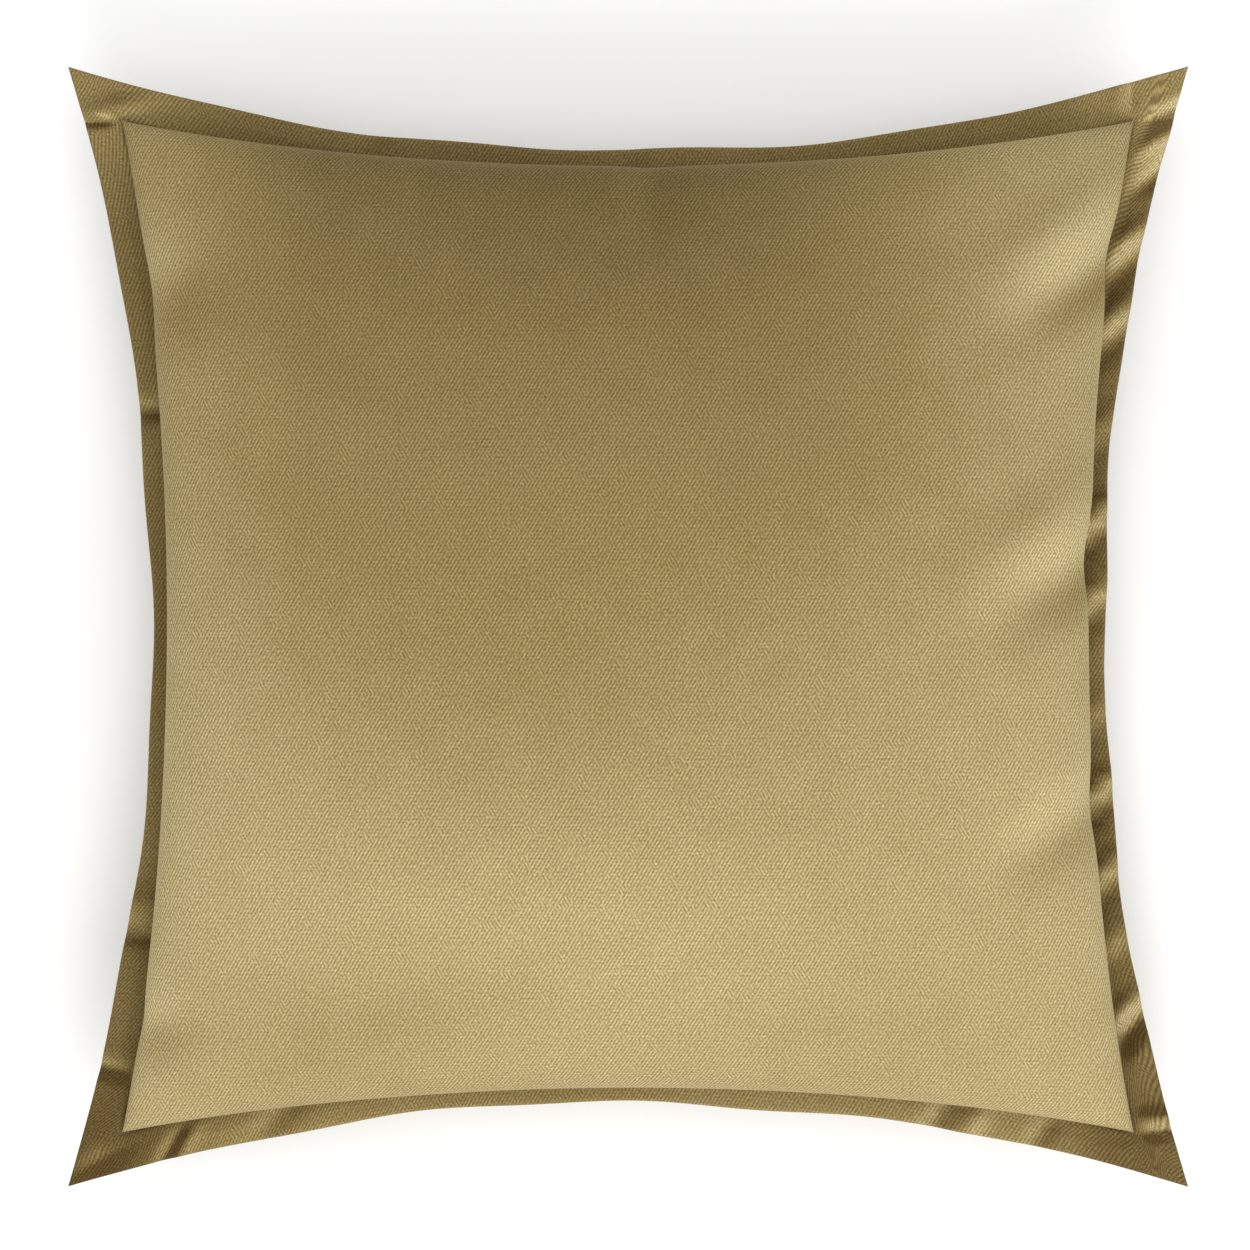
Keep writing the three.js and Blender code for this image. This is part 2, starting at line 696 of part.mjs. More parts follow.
function raised(outline, low, high) {
  const shape = new THREE.Shape(outline.map(([x, y]) => new THREE.Vector2(x, y)));
  const geometry = new THREE.ExtrudeGeometry(shape, { depth: high - low, bevelEnabled: false });
  return geometry.translate(0, 0, low);
}

const block = (fromX, toX, fromY, toY, low, high) =>
  raised([[fromX, fromY], [toX, fromY], [toX, toY], [fromX, toY]], low, high);

// The shield of the slider: broad at the nose, narrower at the tail
function shield(inset) {
  const nose = -SLIDER_LENGTH / 2 + inset;
  const tail = SLIDER_LENGTH / 2 - inset;
  const wide = SLIDER_HALF_WIDTH - inset;
  const narrow = SLIDER_TAIL_WIDTH / 2 - inset;
  const shoulder = SLIDER_LENGTH * 0.12;
  return [
    [nose, -wide * 0.75],
    [nose + shoulder, -wide],
    [0, -wide],
    [tail, -narrow],
    [tail, narrow],
    [0, wide],
    [nose + shoulder, wide],
    [nose, wide * 0.75],
  ];
}

function sliderBody() {
  const nose = -SLIDER_LENGTH / 2;
  const postNose = nose + SLIDER_LENGTH * 0.04;
  const postWidth = POST_WIDTH / 2;
  const post = [
    [postNose, -postWidth * 0.6],
    [postNose + POST_LENGTH * 0.5, -postWidth],
    [postNose + POST_LENGTH * 0.9, 0],
    [postNose + POST_LENGTH * 0.5, postWidth],
    [postNose, postWidth * 0.6],
  ];
  const railNose = nose + SLIDER_LENGTH * 0.125;
  const railLow = COIL_LOW + PIECE_GAP;
  const bridgeFrom = -BRIDGE_LENGTH / 2;
  const bridgeTo = BRIDGE_LENGTH / 2;
  const half = BRIDGE_WIDTH / 2;
  const overlap = 0.2;
  const pieces = [
    raised(shield(0), SLIDER_UNDER, SLIDER_TOP),
    raised(shield(SLIDER_BASE_INSET), SLIDER_BASE, SLIDER_FLOOR),
    raised(post, SLIDER_FLOOR - overlap, SLIDER_UNDER + overlap),
    block(railNose, 0, RAIL_FACE, SLIDER_HALF_WIDTH, railLow, SLIDER_UNDER + overlap),
    block(railNose, 0, -SLIDER_HALF_WIDTH, -RAIL_FACE, railLow, SLIDER_UNDER + overlap),
    block(bridgeFrom, bridgeFrom + BRIDGE_WALL, -half, half, SLIDER_TOP - overlap, BRIDGE_TOP),
    block(bridgeTo - BRIDGE_WALL, bridgeTo, -half, half, SLIDER_TOP - overlap, BRIDGE_TOP),
    block(bridgeFrom, bridgeTo, -half, half, BRIDGE_UNDER, BRIDGE_TOP),
  ];
  return geometryOf(pieces.map(solidOf).reduce((whole, piece) => whole.add(piece)));
}

// The tab, with its bar under the slider's bridge and its length along +X
function tabPlate() {
  const pin = TAB_PIN / 2;
  const width = TAB_WIDTH / 2;
  const corner = TAB_WIDTH * 0.3;
  const far = TAB_LENGTH - pin;
  const shape = new THREE.Shape();
  shape.moveTo(-pin, -width);
  shape.lineTo(far - corner, -width);
  shape.quadraticCurveTo(far, -width, far, 0);
  shape.quadraticCurveTo(far, width, far - corner, width);
  shape.lineTo(-pin, width);
  shape.closePath();
  const hole = new THREE.Path();
  const holeWidth = BRIDGE_WIDTH / 2 + TAB_HOLE_PLAY;
  const holeEnd = Math.hypot(BRIDGE_LENGTH / 2, BRIDGE_TOP - PIN_HEIGHT) + TAB_HOLE_PLAY;
  hole.moveTo(pin, -holeWidth);
  hole.lineTo(pin, holeWidth);
  hole.lineTo(holeEnd, holeWidth);
  hole.lineTo(holeEnd, -holeWidth);
  hole.closePath();
  shape.holes.push(hole);
  const options = { depth: TAB_THICKNESS, bevelEnabled: false, curveSegments: 6 };
  return new THREE.ExtrudeGeometry(shape, options).translate(0, 0, -TAB_THICKNESS / 2);
}

const slider = new THREE.Group();
const travel = onStrip(SLIDER_ANGLE, 0, 0);
const alongZip = new THREE.Vector3(1, 0, 0).applyAxisAngle(STRIP.axis, SLIDER_ANGLE);
const outOfZip = STRIP.outward.clone().applyAxisAngle(STRIP.axis, SLIDER_ANGLE);
const acrossZip = outOfZip.clone().cross(alongZip);
slider.position.copy(travel);
slider.setRotationFromMatrix(new THREE.Matrix4().makeBasis(alongZip, acrossZip, outOfZip));
pillow.add(slider);
add('zipper_slider', sliderBody(), zipMetal(), slider);

// The tab hangs on its bar: the lowest direction that its hinge leaves it
const down = new THREE.Vector3(0, 0, -1);
const hanging = down.addScaledVector(acrossZip, -down.dot(acrossZip)).normalize();
const pullTab = add('zipper_pull_tab', tabPlate(), zipMetal(), slider);
pullTab.position.z = PIN_HEIGHT;
pullTab.rotation.y = -Math.atan2(hanging.dot(outOfZip), hanging.dot(alongZip));

// ---- labels: each is one small patch that lies along the cloth ----

const nearest = (stations, station) =>
  stations.reduce((best, other) => (Math.abs(other - station) < Math.abs(best - station) ? other : best));

function label(half, layer, columns, rows, from) {
  const patch = (depth) =>
    gridOf(rows, columns, (s, t) =>
      bodyPoint(half, layer, s, t).addScaledVector(bodyNormal(half, layer, s, t), depth),
    );
  return between(patch(from + LABEL), patch(from));
}

function stationAfter(stations, station) {
  return stations[stations.indexOf(station) + 1];
}

const careColumn = nearest(COLUMNS, 1 / 3);
const careRow = ZIP_ROWS[2];
const careInside = -VELVET - LABEL_GAP - LABEL;
add(
  'care_label',
  label(
    BACK,
    COVER,
    [careColumn, stationAfter(COLUMNS, careColumn)],
    [careRow, stationAfter(ROWS, careRow)],
    careInside,
  ),
  satin(),
);
const insertColumn = nearest(COLUMNS, 1 / 3);
const insertRow = nearest(ROWS, 0);
add(
  'insert_label',
  label(
    FRONT,
    INSERT,
    [insertColumn, stationAfter(COLUMNS, insertColumn)],
    [insertRow, stationAfter(ROWS, insertRow)],
    LABEL_GAP,
  ),
  satin(),
);

export default pillow;
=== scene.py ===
"""A velvet throw pillow with a flanged cover, a zipped back and a stuffed insert.

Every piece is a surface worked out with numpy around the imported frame. Lengths are in metres.
"""

import json

import bpy
import numpy as np
from bpy.props import FloatProperty, FloatVectorProperty, PointerProperty
from bpy.types import Operator, Panel, PropertyGroup
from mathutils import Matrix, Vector


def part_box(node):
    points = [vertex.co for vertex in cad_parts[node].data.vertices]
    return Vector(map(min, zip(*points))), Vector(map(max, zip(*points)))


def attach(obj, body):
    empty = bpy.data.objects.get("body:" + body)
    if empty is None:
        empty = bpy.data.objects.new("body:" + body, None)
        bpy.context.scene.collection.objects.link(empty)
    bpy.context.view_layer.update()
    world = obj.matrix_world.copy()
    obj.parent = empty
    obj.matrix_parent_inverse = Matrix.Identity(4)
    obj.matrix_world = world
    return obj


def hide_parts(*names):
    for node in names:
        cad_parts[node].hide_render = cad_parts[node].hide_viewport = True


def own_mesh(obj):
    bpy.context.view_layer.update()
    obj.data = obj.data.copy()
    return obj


bl_info = {
    "name": "Flanged velvet pillow",
    "version": (1, 0, 0),
    "blender": (4, 5, 0),
    "location": "3D View > Sidebar > Pillow",
    "description": "Sews and stuffs a flanged velvet pillow around its packed frame",
    "category": "Object",
}

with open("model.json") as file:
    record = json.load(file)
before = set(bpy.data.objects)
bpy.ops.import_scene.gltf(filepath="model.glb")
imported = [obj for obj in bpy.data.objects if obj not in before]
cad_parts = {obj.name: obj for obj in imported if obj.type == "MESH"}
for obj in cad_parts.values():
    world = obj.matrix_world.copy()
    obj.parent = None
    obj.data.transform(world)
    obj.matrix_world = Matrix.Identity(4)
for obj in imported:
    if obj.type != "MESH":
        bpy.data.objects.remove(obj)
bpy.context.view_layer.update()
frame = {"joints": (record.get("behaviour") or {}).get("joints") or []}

MM = 0.001

# ---- measures read from the frame ----

front_low, front_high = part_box("cover_front")
back_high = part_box("cover_back_upper")[1]
joints = {joint["name"]: joint for joint in frame["joints"]}

FLANGE_HALF = front_high.x
FLANGE_LEVEL = (front_low.z + back_high.z) / 2
PLY_GAP = front_low.z - back_high.z
FRONT_CROWN = front_high.z - FLANGE_LEVEL
ZIP_CENTRE = np.array(joints["zipper_travel"]["pos_m"])
ZIP_AXIS = np.array(joints["zipper_travel"]["axis"])
TAB_PIVOT = np.array(joints["pull_tab_swing"]["pos_m"])

# ---- measures of the cut cloth and the stuffed shape ----

FLANGE_WIDTH = 24 * MM
EDGE_PULL_IN = 37 * MM
SEAM_PULL_IN = 34 * MM
BACK_CROWN = FLANGE_LEVEL + 6 * MM
BODY_OVERHANG = 12 * MM
CORNER_FULLNESS = 0.8
VELVET = 1.2 * MM
TICKING = 0.5 * MM
SEAM_HALF = FLANGE_HALF - FLANGE_WIDTH

# A layer lies inside the cover by its insets, and its two halves part by its edge at the seam
COVER = {"seam": 0.0, "skin": 0.0, "edge": VELVET}
INSERT = {"seam": 10 * MM, "skin": 3.8 * MM, "edge": TICKING}
FILL = {"seam": 22 * MM, "skin": 8.3 * MM, "edge": -0.05 * MM}
FRONT, BACK = 1, -1

# ---- measures of the zip ----

ZIP_FROM_SEAM = 38 * MM
ZIP_HALF = SEAM_HALF - 45 * MM
SLOT_TAPER = 8 * MM
SLOT_HALF = 4.5 * MM
JOIN_HALF = 0.25 * MM
TAPE_NEAR = 1.1 * MM
TAPE_WIDTH = 12 * MM
TAPE = 0.5 * MM
TAPE_TOP = -1.5 * MM
STRIP_FLAT = TAPE_NEAR + TAPE_WIDTH + 1 * MM
STRIP_BLEND = 26 * MM
COIL_GAP = 0.15 * MM
COIL_WIDTH = 2 * MM
COIL_LOW = -1.2 * MM
COIL_HIGH = 0.4 * MM
OPEN_SHIFT = 0.95 * MM
STOP_LENGTH = 2.4 * MM
PIECE_GAP = 0.3 * MM
SLIDER_LENGTH = 9.6 * MM
SLIDER_HALF_WIDTH = 4 * MM
SLIDER_TAIL = 3.2 * MM
SLIDER_BASE, SLIDER_FLOOR = -3.2 * MM, -2.3 * MM
SLIDER_UNDER, SLIDER_TOP = 0.7 * MM, 1.6 * MM
POST_LENGTH = 2.6 * MM
POST_HALF = 0.6 * MM
BRIDGE_HALF = 3.1 * MM
BRIDGE_TOP = 4.1 * MM
TAB_LENGTH = 22 * MM
TAB_WIDTH = 5.6 * MM

# ---- how finely surfaces are divided ----

BODY_STEPS = 150
FLANGE_STEPS = 14
ZIP_STEPS = 240


# ---- points and vectors in arrays ----


def unit(vectors):
    """Vectors divided by their lengths."""
    return vectors / np.maximum(np.linalg.norm(vectors, axis=-1, keepdims=True), 1e-12)


def smooth_step(value, start, end):
    """0 before start, 1 after end, and 3x^2 - 2x^3 between them."""
    share = np.clip((value - start) / (end - start), 0, 1)
    return share * share * (3 - 2 * share)


def signed_power(value, power):
    """The value's size raised to a power, with its sign kept: squares off a sine or cosine."""
    return np.sign(value) * np.abs(value) ** power


def turned(vectors, axis, angle):
    """Vectors turned about a unit axis: v cos a + (k x v) sin a + k (k.v)(1 - cos a)."""
    cosine = np.cos(angle)[..., None]
    sine = np.sin(angle)[..., None]
    along = (vectors @ axis)[..., None] * axis
    return vectors * cosine + np.cross(axis, vectors) * sine + along * (1 - cosine)


def gaussian(distance, width):
    """A bell: e to the minus (distance / width) squared."""
    return np.exp(-((distance / width) ** 2))


# ---- meshes from arrays ----


def grid_faces(rows, columns, first=0, ring=False, loop=False):
    """Quads over a grid of points, its rows closed into a ring or its columns into a loop."""
    row = np.arange(rows if loop else rows - 1)
    column = np.arange(columns if ring else columns - 1)
    here, side = np.meshgrid(row, column, indexing="ij")
    above, beside = (here + 1) % rows, (side + 1) % columns
    low, high = here * columns, above * columns
    return first + np.stack([low + side, low + beside, high + beside, high + side], -1).reshape(-1, 4)


def fan_faces(ring, pole, forward=True):
    """Triangles from a ring of points to a pole."""
    after = np.roll(ring, -1)
    poles = np.full(len(ring), pole)
    return np.stack([ring, after, poles] if forward else [after, ring, poles], -1)


def signed_volume(points, faces):
    """A sixth of the sum of the faces' triple products: positive where faces point out."""
    total = 0.0
    for block in faces:
        corners = points[block]
        for last in range(2, block.shape[1]):
            total += np.einsum("ij,ij->", corners[:, 0], np.cross(corners[:, last - 1], corners[:, last]))
    return total / 6


def piece(name, points, faces, finish, uv=None, values=None):
    """A smooth mesh object of points and blocks of faces, turned to face out, with its finish."""
    blocks = faces if isinstance(faces, list) else [faces]
    points = points.reshape(-1, 3)
    if signed_volume(points, blocks) < 0:
        blocks = [block[:, ::-1] for block in blocks]
    mesh = bpy.data.meshes.new(name)
    corner_total = np.concatenate([np.full(len(block), block.shape[1]) for block in blocks])
    corners = np.concatenate([block.ravel() for block in blocks])
    mesh.vertices.add(len(points))
    mesh.vertices.foreach_set("co", points.astype(np.float32).ravel())
    mesh.loops.add(len(corners))
    mesh.loops.foreach_set("vertex_index", corners.astype(np.int32))
    mesh.polygons.add(len(corner_total))
    starts = np.concatenate([[0], np.cumsum(corner_total)[:-1]])
    mesh.polygons.foreach_set("loop_start", starts.astype(np.int32))
    mesh.polygons.foreach_set("use_smooth", np.ones(len(corner_total), bool))
    mesh.update(calc_edges=True)
    if uv is not None:
        layer = mesh.uv_layers.new(name="cloth")
        layer.data.foreach_set("uv", uv.reshape(-1, 2)[corners].astype(np.float32).ravel())
    for label, value in (values or {}).items():
        attribute = mesh.attributes.new(label, "FLOAT", "POINT")
        attribute.data.foreach_set("value", value.astype(np.float32).ravel())
    mesh.validate()
    obj = bpy.data.objects.new(name, mesh)
    bpy.context.scene.collection.objects.link(obj)
    mesh.materials.append(finish)
    return obj


def shell(outer, inner):
    """Points and faces of a sheet with thickness: its two skins and the wall round their rims."""
    rows, columns = outer.shape[:2]
    count = rows * columns
    index = np.arange(count).reshape(rows, columns)
    rim = np.concatenate([index[0, :-1], index[:-1, -1], index[-1, :0:-1], index[:0:-1, 0]])
    after = np.roll(rim, -1)
    wall = np.stack([after, rim, rim + count, after + count], -1)
    points = np.concatenate([outer.reshape(-1, 3), inner.reshape(-1, 3)])
    faces = [grid_faces(rows, columns), grid_faces(rows, columns, count)[:, ::-1], wall]
    return points, faces


def swept(path, sides, ups, profile, loop=False):
    """A closed profile (across, up) carried along a path, with a pole at each open end."""
    across = profile[:, 0][None, :, None] * sides[:, None, :]
    height = profile[:, 1][None, :, None] * ups[:, None, :]
    body = path[:, None, :] + across + height
    rows, columns = body.shape[:2]
    faces = [grid_faces(rows, columns, ring=True, loop=loop)]
    points = body.reshape(-1, 3)
    if loop:
        return points, faces
    points = np.concatenate([points, body[:1].mean(1), body[-1:].mean(1)])
    first, last = np.arange(columns), np.arange(columns) + (rows - 1) * columns
    faces.append(fan_faces(first, rows * columns, forward=False))
    faces.append(fan_faces(last, rows * columns + 1))
    return points, faces


def joined(parts):
    """Several closed bodies as one set of points and faces."""
    points, faces, count = [], [], 0
    for body, blocks in parts:
        points.append(body)
        faces.extend(block + count for block in blocks)
        count += len(body)
    return np.concatenate(points), faces


def round_profile(half_width, half_height, corners=12, squareness=1.0):
    """A round or squared-off ring: cosine and sine, each raised to a power below 1 to square it."""
    angle = np.linspace(0, 2 * np.pi, corners, endpoint=False)
    across = half_width * signed_power(np.cos(angle), squareness)
    return np.stack([across, half_height * signed_power(np.sin(angle), squareness)], -1)


def soft_block(low, high, squareness=0.35, steps=12):
    """A block with soft edges between two corners: a ball whose sines are raised to a low power."""
    low, high = np.array(low), np.array(high)
    around = np.linspace(0, 2 * np.pi, 2 * steps, endpoint=False)
    over = np.linspace(-np.pi / 2, np.pi / 2, steps + 1)[1:-1, None]
    ring = signed_power(np.cos(over), squareness)
    x = ring * signed_power(np.cos(around), squareness)
    y = ring * signed_power(np.sin(around), squareness)
    z = signed_power(np.sin(over), squareness) + 0 * around
    body = np.stack([x, y, z], -1)
    rows, columns = body.shape[:2]
    points = np.concatenate([body.reshape(-1, 3), [[0, 0, -1], [0, 0, 1]]])
    faces = [grid_faces(rows, columns, ring=True)]
    faces.append(fan_faces(np.arange(columns), rows * columns, forward=False))
    faces.append(fan_faces(np.arange(columns) + (rows - 1) * columns, rows * columns + 1))
    return (low + high) / 2 + points * (high - low) / 2, faces


# ---- the stuffed shape ----


def sine_of(station):
    """Where a station from -1 to 1 lies across the cloth: the sine of its quarter turn."""
    return np.sin(station * np.pi / 2)


def reach(place, layer):
    """The widest half width at a place across the body, and the turn from its middle to its seam.

    The seam pulls in by a parabola that is deepest at mid side, and the body bulges out past it.
    """
    bow = 1 - place**2
    seam = SEAM_HALF - layer["seam"] - SEAM_PULL_IN * bow
    widest = seam + (BODY_OVERHANG + layer["seam"] - layer["skin"]) * bow
    return widest, np.pi - np.arcsin(np.minimum(seam / widest, 1))


def rise(station, turn):
    """How high a station stands: 1 in the middle and 0 at the seam, by the cosine of its turn."""
    return (np.cos(station * turn) - np.cos(turn)) / (1 - np.cos(turn))


def puffed(half, layer, s, t):
    """Points of a stuffed half: s and t run from -1 to 1 between opposite seams.

    Across, a sine of the turn; up, the product of the two rises, raised to a power that fills corners.
    """
    wide, turn_x = reach(sine_of(t), layer)
    tall, turn_y = reach(sine_of(s), layer)
    swell = np.maximum(rise(s, turn_x) * rise(t, turn_y), 0) ** CORNER_FULLNESS
    edge = PLY_GAP / 2 + layer["edge"]
    crown = (FRONT_CROWN if half == FRONT else BACK_CROWN) - layer["skin"]
    level = FLANGE_LEVEL + half * (edge + (crown - edge) * swell)
    across, along = wide * np.sin(s * turn_x), tall * np.sin(t * turn_y)
    return np.stack([across, along, np.maximum(level, layer["skin"])], -1)


def row_of_zip():
    """The row that lies the zip's distance from the seam, measured over the middle of the back."""
    rows = np.linspace(-1, 0, 2001)
    line = puffed(BACK, COVER, np.zeros_like(rows), rows)
    length = np.concatenate([[0], np.cumsum(np.linalg.norm(np.diff(line, axis=0), axis=1))])
    return float(np.interp(ZIP_FROM_SEAM, length, rows))


def column_at(distance):
    """The column whose point on the zip's row lies at a distance from the middle."""
    columns = np.linspace(0, 0.9, 2001)
    line = puffed(BACK, COVER, columns, np.full_like(columns, ZIP_ROW))
    return float(np.interp(distance, line[:, 0], columns))


ZIP_ROW = row_of_zip()
ZIP_END_COLUMN = column_at(ZIP_HALF)
TAPER_COLUMN = column_at(ZIP_HALF + SLOT_TAPER)
TINY = 0.01
near_zip = puffed(BACK, COVER, np.zeros(3), ZIP_ROW + TINY * np.array([-1, 0, 1]))
ZIP_MIDDLE = near_zip[1]
CLOTH_PER_ROW = np.linalg.norm(near_zip[2] - near_zip[0]) / (2 * TINY)
ZIP_ACROSS = unit(near_zip[2] - near_zip[0])
ZIP_OUT = np.cross(ZIP_ACROSS, [1.0, 0, 0])
ZIP_RADIUS = np.linalg.norm(ZIP_MIDDLE - ZIP_CENTRE)
ZIP_END_ANGLE = np.arcsin(ZIP_HALF / ZIP_RADIUS)


def on_zip(angle, across, out):
    """Points of the zip's strip, which turns about one far axis: across it, and out from the cloth."""
    angle, across, out = np.broadcast_arrays(angle, across, out)
    flat = ZIP_MIDDLE + across[..., None] * ZIP_ACROSS + out[..., None] * ZIP_OUT
    return turned(flat - ZIP_CENTRE, ZIP_AXIS, angle) + ZIP_CENTRE


def zip_share(s, t):
    """How much of a point's place the zip's strip gives: all near the zip, none at the seam."""
    across = (t - ZIP_ROW) * CLOTH_PER_ROW
    end = np.where(t < ZIP_ROW, (1 + ZIP_ROW) * CLOTH_PER_ROW, STRIP_FLAT + STRIP_BLEND)
    near_row = 1 - smooth_step(np.abs(across), STRIP_FLAT, end)
    return near_row * (1 - smooth_step(np.abs(s), TAPER_COLUMN, 1))


def back_skin(s, t):
    """The back of the cover: the stuffed shape, drawn towards the strip of the zip near it."""
    angle = np.arcsin(puffed(BACK, COVER, s, np.full_like(s, ZIP_ROW))[..., 0] / ZIP_RADIUS)
    strip = on_zip(angle, (t - ZIP_ROW) * CLOTH_PER_ROW, 0.0)
    plain = puffed(BACK, COVER, s, t)
    return plain + (strip - plain) * zip_share(s, t)[..., None]


def normals_of(surface, s, t, half, step=0.004):
    """Unit normals that face out: the cross product of central differences along s and t."""
    s_low, s_high = np.maximum(s - step, -1), np.minimum(s + step, 1)
    t_low, t_high = np.maximum(t - step, -1), np.minimum(t + step, 1)
    along_s = surface(s_high, t) - surface(s_low, t)
    along_t = surface(s, t_high) - surface(s, t_low)
    return unit(np.cross(along_s, along_t)) * half


# Soft hollows and swellings of the front: x, y, half length, half width, turn in degrees, height
DENTS = (
    (-0.198, 0.146, 0.020, 0.020, 20, -2.2 * MM),
    (-0.150, 0.110, 0.050, 0.020, -40, 1.3 * MM),
    (0.199, 0.153, 0.034, 0.012, 38, -2.8 * MM),
    (0.183, 0.172, 0.034, 0.012, 38, 1.0 * MM),
    (0.192, 0.024, 0.036, 0.013, 35, -2.6 * MM),
    (0.176, 0.044, 0.036, 0.012, 35, 0.9 * MM),
    (0.190, -0.084, 0.034, 0.014, 35, -2.2 * MM),
    (-0.203, -0.172, 0.014, 0.012, 0, -1.5 * MM),
    (0.010, 0.192, 0.030, 0.012, 90, -1.0 * MM),
    (-0.090, -0.178, 0.070, 0.022, 8, 1.0 * MM),
    (0.020, 0.060, 0.110, 0.060, 35, -1.2 * MM),
    (-0.060, -0.080, 0.120, 0.070, -20, 1.0 * MM),
)


def long_bells(x, y, bells):
    """A sum of bells, each longer one way than the other and turned in the plane."""
    total = np.zeros_like(x)
    for at_x, at_y, length, width, degrees, height in bells:
        angle = np.radians(degrees)
        along = (x - at_x) * np.cos(angle) + (y - at_y) * np.sin(angle)
        across = (y - at_y) * np.cos(angle) - (x - at_x) * np.sin(angle)
        total += height * gaussian(along, length) * gaussian(across, width)
    return total


def dents(x, y):
    """The height that the hollows and swellings add."""
    return long_bells(x, y, DENTS)


def plain_front(s, t):
    """The front of the cover before it has any hollows."""
    return puffed(FRONT, COVER, s, t)


def front_skin(s, t):
    """The front of the cover: the stuffed shape with its soft hollows, which fade out at the seam."""
    plain = plain_front(s, t)
    fade = 1 - smooth_step(np.maximum(np.abs(s), np.abs(t)), 0.86, 1)
    lift = (dents(plain[..., 0], plain[..., 1]) * fade)[..., None]
    return plain + normals_of(plain_front, s, t, FRONT) * lift


# ---- the flange ----

EDGE_WANDER = 1.6 * MM


def flange_reach(station, along):
    """How far a line of the flange is from the middle.

    It is a parabola, pulled in most at mid side, and its edge wanders by a product of two sines.
    """
    share = np.maximum(np.abs(station) - 1, 0)
    pull_in = SEAM_PULL_IN + (EDGE_PULL_IN - SEAM_PULL_IN) * share
    place = along / (SEAM_HALF + share * FLANGE_WIDTH)
    wander = EDGE_WANDER * share * np.sin(43 * along + np.sign(station)) * np.sin(19 * along + 0.6)
    return np.sign(station) * (SEAM_HALF + share * FLANGE_WIDTH - (pull_in - wander) * (1 - place**2))


def flange_plan(s, t):
    """Where stations from 1 to 2 lie in plan. Corners settle by taking each line from the other."""
    x = SEAM_HALF * sine_of(np.clip(s, -1, 1))
    y = SEAM_HALF * sine_of(np.clip(t, -1, 1))
    for _ in range(8):
        x = np.where(np.abs(s) >= 1, flange_reach(s, y), x)
        y = np.where(np.abs(t) >= 1, flange_reach(t, x), y)
    return x, y


# Folds of the flange: x, y, half length, half width, turn in degrees, height at the outer edge
FOLDS = (
    (0.243, 0.228, 0.016, 0.0030, 25, -3.2 * MM),
    (0.221, 0.236, 0.014, 0.0022, 88, -1.8 * MM),
    (0.214, 0.236, 0.014, 0.0040, 88, 1.2 * MM),
    (0.233, 0.199, 0.018, 0.0045, 38, -3.4 * MM),
    (0.232, 0.213, 0.018, 0.0040, 30, 2.6 * MM),
    (-0.232, 0.221, 0.012, 0.0022, 2, -2.6 * MM),
    (-0.222, 0.227, 0.012, 0.0050, 10, 2.0 * MM),
    (-0.208, 0.095, 0.016, 0.0045, 12, -2.6 * MM),
    (-0.214, -0.134, 0.016, 0.0050, -12, -2.8 * MM),
    (-0.216, -0.120, 0.016, 0.0055, -12, 1.6 * MM),
    (-0.228, -0.193, 0.016, 0.0035, -15, -3.0 * MM),
    (-0.200, -0.228, 0.014, 0.0032, 60, -2.4 * MM),
    (-0.193, -0.224, 0.014, 0.0042, 60, 1.8 * MM),
    (-0.231, -0.234, 0.012, 0.0045, 30, -1.6 * MM),
    (-0.151, -0.212, 0.014, 0.0060, 50, -2.0 * MM),
    (-0.112, 0.216, 0.014, 0.0080, 80, -1.4 * MM),
    (0.000, 0.208, 0.014, 0.0070, 100, -1.8 * MM),
    (0.150, -0.216, 0.016, 0.0055, 55, 2.2 * MM),
    (0.136, -0.214, 0.016, 0.0045, 55, -2.0 * MM),
    (0.182, -0.220, 0.016, 0.0050, 55, -2.0 * MM),
    (0.232, -0.221, 0.012, 0.0028, 5, -2.4 * MM),
    (0.231, -0.214, 0.014, 0.0035, 8, 1.8 * MM),
    (0.220, -0.175, 0.022, 0.0050, 62, -3.4 * MM),
)
RIGHT_RIDGES = (0.168, 0.134, 0.086, 0.046, 0.012, -0.039, -0.072, -0.108, -0.137, -0.168)
RIGHT_FOLD_TURN = 36


def right_folds():
    """The slanting folds down the right side: a ridge and the hollow below it at each height."""
    folds = []
    for count, y in enumerate(RIGHT_RIDGES):
        x = float(flange_reach(1.5, y))
        height = (2.6 + 1.2 * np.sin(2.1 * count + 0.8)) * MM
        turn = RIGHT_FOLD_TURN + 9 * np.sin(3.1 * count)
        folds.append((x, y, 0.022, 0.0055, turn, height))
        folds.append((x + 2 * MM, y - 10 * MM, 0.020, 0.0060, turn + 4, -0.8 * height))
    return folds


def flange_lift(x, y, station):
    """How far the flange waves out of its plane: long bells, which grow from the topstitch outwards."""
    total = long_bells(x, y, (*FOLDS, *right_folds()))
    slow = 1.1 * MM * np.sin(31 * x + 0.7) * np.cos(27 * y - 0.4)
    grow = smooth_step(station, 1.0, 1.55)
    return (total + slow) * grow


STITCH_OFFSET = 1.3 * MM
GROOVE_WIDTH = 0.8 * MM
GROOVE_DEPTH = 0.6 * MM
HEM_STATION = 1.5
HEM_EXTRA = 0.45 * MM
ROUNDED_FROM = 1.93


def ply_thickness(station):
    """The ply's thickness over the flange: a groove at the topstitch, the hem's ridge, a round edge."""
    across = (station - 1) * FLANGE_WIDTH
    groove = GROOVE_DEPTH * gaussian(across - STITCH_OFFSET, GROOVE_WIDTH)
    hem = HEM_EXTRA * smooth_step(station, HEM_STATION - 0.05, HEM_STATION + 0.07)
    edge = np.clip((station - ROUNDED_FROM) / (2 - ROUNDED_FROM), 0, 1)
    return (VELVET - groove + hem) * np.sqrt(1 - 0.96 * edge**2)


